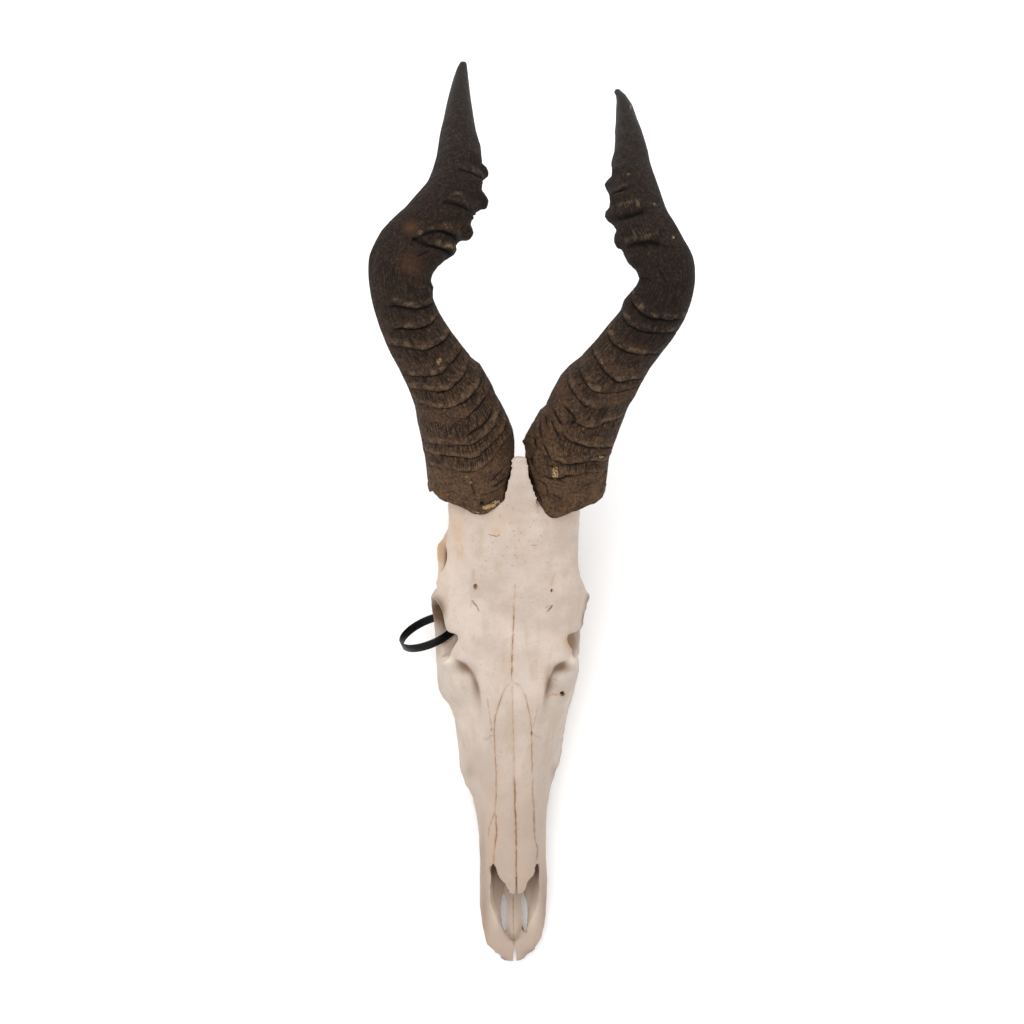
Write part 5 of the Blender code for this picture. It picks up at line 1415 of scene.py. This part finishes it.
def sheath(name, points, rim, furrows, edges, wrinkles, patches, inner_side):
    """The whole sheath with its rings and knuckles, and the marks for its material."""
    line = horn_line(points)
    end = line[0][-1]
    front = front_of(line)
    start, shown = round_the_sheath(front, rim, 1.45, 11)
    # Behind, where the bone hides it, the rim keeps close to the bone
    start = np.where(shown > 0.999, start, np.minimum(start, -0.5))
    start = np.convolve(np.pad(start, 4, "wrap"), np.hanning(11)[1:-1] / np.hanning(11).sum(), "valid")
    circle = np.stack((np.cos(ANGLES) * 6, np.sin(ANGLES) * 6, np.ones(HORN_AROUND)), -1)
    start = start + noise_over(circle, 1.0) * 0.8
    share = np.linspace(0, 1, HORN_ROWS)[:, None]
    stations = start[None] + (end - start[None]) * share
    angles = np.repeat(ANGLES[None], HORN_ROWS, 0)
    place, out, along = horn_surface(line, stations, angles)
    rise_all = np.zeros(stations.shape)
    slide = np.zeros(stations.shape)
    marks = {label: np.zeros(stations.shape) for label in HORN_MARKS}
    traced = [round_the_sheath(front, row[0]) for row in furrows]
    ripple = noise_over(place, RIPPLE_SCALE)
    crumple = noise_over(place, CRUMPLE_SCALE)
    for k, (_, rise, depth, width, back) in enumerate(furrows):
        level, fade = traced[k]
        big = rise > KNUCKLE_RISE
        strength = np.maximum(fade, back)
        if big:
            facing = ANGLES - inner_side * KNUCKLE_FACING
            strength = np.clip(np.cos(facing * 0.9), 0, 1) ** 1.5
            strength = np.where(np.cos(facing) < -0.2, 0, strength)
        past = stations - level[None] + ripple + crumple * 0.5
        if k + 1 < len(furrows) and not big:
            room = np.clip((traced[k + 1][0] - level) * 0.95, 7, 26)[None]
        else:
            room = 13.0
        grow = np.clip(past / (1.5 * width), 0, 1)
        fall = np.clip(1 - past / room, 0, 1)
        lip = grow * grow * (3 - 2 * grow) * fall ** 1.2 * (past > 0)
        cut = np.exp(-(past / width) ** 2)
        if big:
            lip = lip * 0.55
        rise_all += strength * (rise * lip - depth * cut)
        slide -= strength * 0.55 * rise * np.exp(-((past - 1.6 * width) / (1.4 * width)) ** 2)
        # Each ring's lip gets a painted highlight, and its furrow and recess get painted shade.
        marks["lip"] += strength * np.exp(-((past - 3.0 * width) / (1.7 * width)) ** 2)
        marks["furrow"] += strength * np.exp(-((past + 0.3) / (1.15 * width)) ** 2)
        marks["recess"] += strength * (past > 0) * np.clip(past / room, 0, 1) * (past < room)
    # Details that lie on the side that the camera sees
    spots = in_photo(place).reshape(-1, 2)
    seen = np.clip((out[..., 2] - 0.05) / 0.2, 0, 1)
    for points_drawn, half, depth in wrinkles:
        gap, _, share_along = beside(spots, points_drawn)
        ends = 0.3 + 0.7 * np.clip(np.minimum(share_along, 1 - share_along) / 0.2, 0, 1)
        groove = (np.exp(-(gap / half) ** 2) * ends).reshape(stations.shape) * seen
        banks = np.exp(-((gap - 2.6 * half) / (1.2 * half)) ** 2) * ends
        banks = banks.reshape(stations.shape) * seen
        rise_all += depth * (0.45 * banks - groove)
        # The groove of each wrinkle gets painted shade and its banks a painted highlight.
        marks["furrow"] = np.maximum(marks["furrow"], min(depth, 1) * groove)
        marks["lip"] += 0.35 * banks * min(depth, 1)
    for label, across, down, wide, tall, strength in patches:
        reach = (((spots - (across, down)) / (wide, tall)) ** 2).sum(1)
        marks[label] += strength * np.exp(-reach).reshape(stations.shape) * seen
    rough = noise_over(place, ROUGH_SCALE)
    quiet = np.clip((end - stations) / 160, 0.15, 1)
    rise_all += (rough * 0.8 + ripple * 0.5 + crumple * 0.4) * quiet
    # Bring the outline on both sides to the traced one
    for way, edge in ((-inner_side, edges[0]), (inner_side, edges[1])):
        turn = (way * math.pi / 2) % (2 * math.pi) / (2 * math.pi)
        column = int(round(turn * HORN_AROUND)) % HORN_AROUND
        known = stands_out(line, edge)
        half = np.interp(stations[:, column], line[0], line[1][:, 3])
        wanted = half + np.interp(stations[:, column], known[:, 0], known[:, 1])
        inside = np.clip((end - stations[:, column]) / 14, 0, 1)
        sideways = np.clip(np.sin(way * ANGLES), 0, 1)[None]
        for _ in range(3):
            reach = ((half[:, None] + rise_all) * sideways).max(1)
            rise_all += ((wanted - reach) * inside)[:, None] * sideways ** 1.1
    skin = place + out * rise_all[..., None] + along * slide[..., None]
    for _ in range(2):
        brought_to_edges(skin, line, edges, inner_side)
    last = skin[-1]
    middle = last.mean(0)
    tip = along[-1, 0]
    cap = []
    for t in (0.35, 0.75, 1.15, 1.45):
        cap.append(middle + (last - middle) * math.cos(t) + tip * TIP_REACH * math.sin(t))
    inner = []
    for size, up in HOLLOW_RINGS:
        flat, _, _ = horn_surface(line, start + up, ANGLES)
        heart = flat.mean(0)
        inner.append(heart + (flat - heart) * size)
    rows = np.concatenate((np.array(inner), skin, np.array(cap)))
    made = skin_over(name, rows)
    at_inner = np.zeros((len(inner), HORN_AROUND))
    at_cap = np.zeros((len(cap), HORN_AROUND))
    for label, values in marks.items():
        values = np.concatenate((at_inner, np.clip(values, 0, 1.5), at_cap))
        marked(made, label, values.ravel())
    reach = np.concatenate((at_inner, stations, at_cap + end))
    marked(made, "grown", (reach / end).ravel())
    around = np.stack((np.cos(angles) * 30, np.sin(angles) * 30), -1)
    around = np.concatenate((around[:len(inner)], around, around[:len(cap)]))
    fibre = np.concatenate((around, reach[..., None]), -1)
    layer = made.data.attributes.new("fibre", "FLOAT_VECTOR", "POINT")
    layer.data.foreach_set("vector", fibre.astype(np.float32).ravel())
    to_the_skull(made)
    return made


def times(tree, first, second):
    """Product of two values."""
    node = place_node(tree, "ShaderNodeMath", {"operation": "MULTIPLY"}, _0=first, _1=second)
    return node.outputs[0]


keratin, tree, shader, where = new_material("horn_keratin", 0.75)
old = weathered(tree, where, 70.0, 1400.0)
grown = mark(tree, "grown")
base = mixed(tree, mapped(tree, grown, 0.0, 0.3), colour(98, 72, 50), colour(72, 53, 40))
base = mixed(tree, mapped(tree, grown, 0.3, 0.5), base, colour(36, 26, 20))
base = mixed(tree, mapped(tree, grown, 0.6, 1.0), base, colour(32, 26, 24))
base = mixed(tree, mapped(tree, old.outputs["Blotches"], 0.1, 1.0, 0.0, 0.55), base, colour(38, 28, 22))
fibre = place_node(tree, "ShaderNodeAttribute", {"attribute_name": "fibre"}).outputs["Vector"]
fibres = texture(tree, fibre, 1.3, 3.0, 0.6, (1, 1, 0.09))
base = mixed(tree, mapped(tree, fibres, 0.5, 0.75, 0.0, 0.22), base, colour(108, 86, 66))
crumbs = texture(tree, where, 420.0, 5.0, 0.75)
light_crumbs = times(tree, mapped(tree, crumbs, 0.5, 0.7), mapped(tree, grown, 0.1, 0.55, 0.7, 0.22))
base = mixed(tree, light_crumbs, base, colour(128, 103, 80))
base = mixed(tree, mapped(tree, crumbs, 0.48, 0.34, 0.0, 0.9), base, colour(18, 12, 9))
base = mixed(tree, mapped(tree, mark(tree, "rust"), 0.0, 1.0, 0.0, 0.6), base, colour(112, 74, 50))
# Dark patches: darker tone, and painted shade on the right horn's bend.
base = mixed(tree, mapped(tree, mark(tree, "dark"), 0.0, 1.0, 0.0, 0.7), base, colour(24, 18, 15))
# Painted highlight on the lips of the rings and the banks of the wrinkles, broken up by a cloudy
# pattern.
lip_breakup = texture(tree, where, 130.0, 4.0, 0.7)
lip_highlight = times(tree, mark(tree, "lip"), mapped(tree, lip_breakup, 0.4, 0.62))
base = mixed(tree, mapped(tree, lip_highlight, 0.1, 1.2, 0.0, 0.55), base, colour(128, 105, 84))
# Painted shade darkens the fibres over each ring's recess, most toward the next furrow.
recess_shade = times(tree, mark(tree, "recess"), mapped(tree, fibres, 0.53, 0.43))
base = mixed(tree, mapped(tree, recess_shade, 0.05, 0.5, 0.0, 0.8), base, colour(22, 15, 11))
# Painted shade: the furrows under the rings and the wrinkle grooves go near black.
base = mixed(tree, mapped(tree, mark(tree, "furrow"), 0.1, 0.9, 0.0, 0.95), base, colour(18, 12, 9))
# Pale patches: tan chips and knots, and painted highlights on the lips of rings and knuckles and along
# the tips.
pale = times(tree, mark(tree, "pale"), mapped(tree, crumbs, 0.38, 0.56, 0.1, 1.0))
base = mixed(tree, mapped(tree, pale, 0.22, 0.5, 0.0, 0.9), base, colour(196, 164, 118))
tree.links.new(base, shader.inputs["Base Color"])
relief = raised(tree, shader, fibres, 0.0016, 0.6)
relief = raised(tree, shader, crumbs, 0.0010, 0.5, relief)
relief = raised(tree, shader, old.outputs["Grain"], 0.0006, 0.5, relief)
raised(tree, shader, old.outputs["Pits"], -0.0004, 0.4, relief)
tree.links.new(mapped(tree, grown, 0.7, 1.0, 0.78, 0.45), shader.inputs["Roughness"])
shader.inputs["Specular IOR Level"].default_value = 0.12
for name, node, points, rim, furrows, edges, wrinkles, patches, inner_side in (
        ("horn_sheath_left", "horn_left", LEFT_HORN, LEFT_RIM, LEFT_FURROWS, LEFT_EDGES,
         LEFT_WRINKLES, LEFT_PATCHES, 1),
        ("horn_sheath_right", "horn_right", RIGHT_HORN, RIGHT_RIM, RIGHT_FURROWS, RIGHT_EDGES,
         RIGHT_WRINKLES, RIGHT_PATCHES, -1)):
    horn = sheath(name, points, rim, furrows, edges, wrinkles, patches, inner_side)
    horn.data.materials.append(keratin)
    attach(horn, "root")
    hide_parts(node)

# CABLE TIE
# A black nylon strap, moulded flat and pulled into a loop round the lower bar of the left
# eye socket. Fine ribs cross its inner face, and its small square head sits in the socket.
TIE_LONG_WAY = Vector((0.91, 0.41, 0.0)).normalized()
TIE_SHORT_WAY = Vector((0.164, -0.364, 0.917)).normalized()
TIE_RADII = (27.0, 23.5)
TIE_HALF_WIDTH = 3.8
TIE_HALF_THICKNESS = 0.8
TIE_STEPS = 240
RIB_EVERY = 3
RIB_DEPTH = 0.18
STRAP_SECTION = ((1.0, -0.9), (1.0, 0.9), (0.6, 1.0), (-0.6, 1.0), (-1.0, 0.9), (-1.0, -0.9),
                 (-0.6, -1.0), (0.6, -1.0))
nylon, tree, shader, where = new_material("black_nylon", 0.36)
old = weathered(tree, where, 300.0, 2600.0)
base = mixed(tree, old.outputs["Blotches"], colour(3, 3, 4), colour(8, 8, 8))
base = mixed(tree, mapped(tree, old.outputs["Grain"], 0.6, 0.8, 0.0, 0.3), base, colour(80, 76, 72))
tree.links.new(base, shader.inputs["Base Color"])
raised(tree, shader, old.outputs["Grain"], 0.0002, 0.4)
shader.inputs["Specular IOR Level"].default_value = 0.2
width_way = TIE_LONG_WAY.cross(TIE_SHORT_WAY).normalized()
rows = []
for step in range(TIE_STEPS):
    angle = 2 * math.pi * step / TIE_STEPS
    out = TIE_LONG_WAY * math.cos(angle) + TIE_SHORT_WAY * math.sin(angle)
    middle = TIE_MIDDLE + TIE_LONG_WAY * TIE_RADII[0] * math.cos(angle)
    middle = middle + TIE_SHORT_WAY * TIE_RADII[1] * math.sin(angle)
    rib = RIB_DEPTH if step % RIB_EVERY == 0 else 0.0
    row = []
    for thick, wide in STRAP_SECTION:
        thick = thick * TIE_HALF_THICKNESS * (1 - (rib if thick < 0 else 0.0))
        row.append(middle + out * thick + width_way * wide * TIE_HALF_WIDTH)
    rows.append(row)
strap = skin_over("tie_strap", rows, True)
to_the_skull(strap)
strap.data.materials.append(nylon)
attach(strap, "root")
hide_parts("cable_tie")

# The head that locks the strap
HEAD_SIZE = (7.4, 5.2, 9.4)
HEAD_ANGLE = math.radians(14)
HEAD_CORNERS = ((-0.84, -1), (0.84, -1), (1, -0.8), (1, 0.8), (0.84, 1), (-0.84, 1), (-1, 0.8),
                (-1, -0.8))
HEAD_RINGS = ((-1, 0.88), (-0.92, 1.0), (0.92, 1.0), (1, 0.88))
head_out = TIE_LONG_WAY * math.cos(HEAD_ANGLE) + TIE_SHORT_WAY * math.sin(HEAD_ANGLE)
head_along = TIE_SHORT_WAY * math.cos(HEAD_ANGLE) - TIE_LONG_WAY * math.sin(HEAD_ANGLE)
head_middle = TIE_MIDDLE + TIE_LONG_WAY * TIE_RADII[0] * math.cos(HEAD_ANGLE)
head_middle = head_middle + TIE_SHORT_WAY * TIE_RADII[1] * math.sin(HEAD_ANGLE)
rows = []
for wide, size in HEAD_RINGS:
    row = []
    for a, b in HEAD_CORNERS:
        corner = head_middle + head_along * a * size * HEAD_SIZE[0] / 2
        corner = corner + head_out * b * size * HEAD_SIZE[1] / 2
        row.append(corner + width_way * wide * HEAD_SIZE[2] / 2)
    rows.append(row)
head = skin_over("tie_head", rows)
to_the_skull(head)
head.data.set_sharp_from_angle(angle=math.radians(35))
head.data.materials.append(nylon)
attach(head, "root")

# TABLE, LIGHT AND CAMERA
# The skull lies on a white sweep of paper under a wide soft light that comes from above
# and a little from the left, and the camera hangs almost straight over it.
PAPER_CORNERS = ((-4, -4), (4, -4), (4, 4), (-4, 4))
PAPER_THICKNESS = 0.02
paper, tree, shader, where = new_material("white_paper", 0.9)
fleck = texture(tree, where, 900.0, 2.0)
base = mixed(tree, fleck, (0.95, 0.95, 0.95, 1.0), (0.98, 0.975, 0.975, 1.0))
tree.links.new(base, shader.inputs["Base Color"])
shader.inputs["Specular IOR Level"].default_value = 0.1
rows = [[(x, y, z) for x, y in PAPER_CORNERS] for z in (-PAPER_THICKNESS, 0)]
sweep = skin_over("paper_sweep", rows)
sweep.data.materials.append(paper)


def soft_light(name, place, aim, size, power):
    """Round lamp, so wide in metres, that faces a place."""
    lamp = bpy.data.lights.new(name, "AREA")
    lamp.shape = "DISK"
    lamp.size = size
    lamp.energy = power
    made = bpy.data.objects.new(name, lamp)
    made.location = place
    made.rotation_euler = (Vector(aim) - Vector(place)).to_track_quat("-Z", "Y").to_euler()
    bpy.context.scene.collection.objects.link(made)


soft_light("top_light", place=(-0.6, 0.75, 2.7), aim=(0, 0, 0.05), size=2.3, power=52.0)
bpy.context.scene.view_settings.view_transform = "Standard"
world = bpy.data.worlds.new("studio")
bpy.context.scene.world = world
world.use_nodes = True
world.node_tree.nodes["Background"].inputs["Color"].default_value = (1.0, 1.0, 1.0, 1.0)
world.node_tree.nodes["Background"].inputs["Strength"].default_value = 1.04
AIM = SKULL_PLACE + Vector((0, AIM_Y, AIM_Z)) * MM
TILT = math.radians(3)
CAMERA_REACH = 2.4
lens = bpy.data.cameras.new("camera")
lens.lens = 95.9
lens.sensor_width = 36
lens.clip_start = 0.05
lens.clip_end = 50
camera = bpy.data.objects.new("camera", lens)
camera.location = AIM + Vector((-math.sin(TILT), 0, math.cos(TILT))) * CAMERA_REACH
camera.rotation_euler = (0, -TILT, 0)
bpy.context.scene.collection.objects.link(camera)
bpy.context.scene.camera = camera
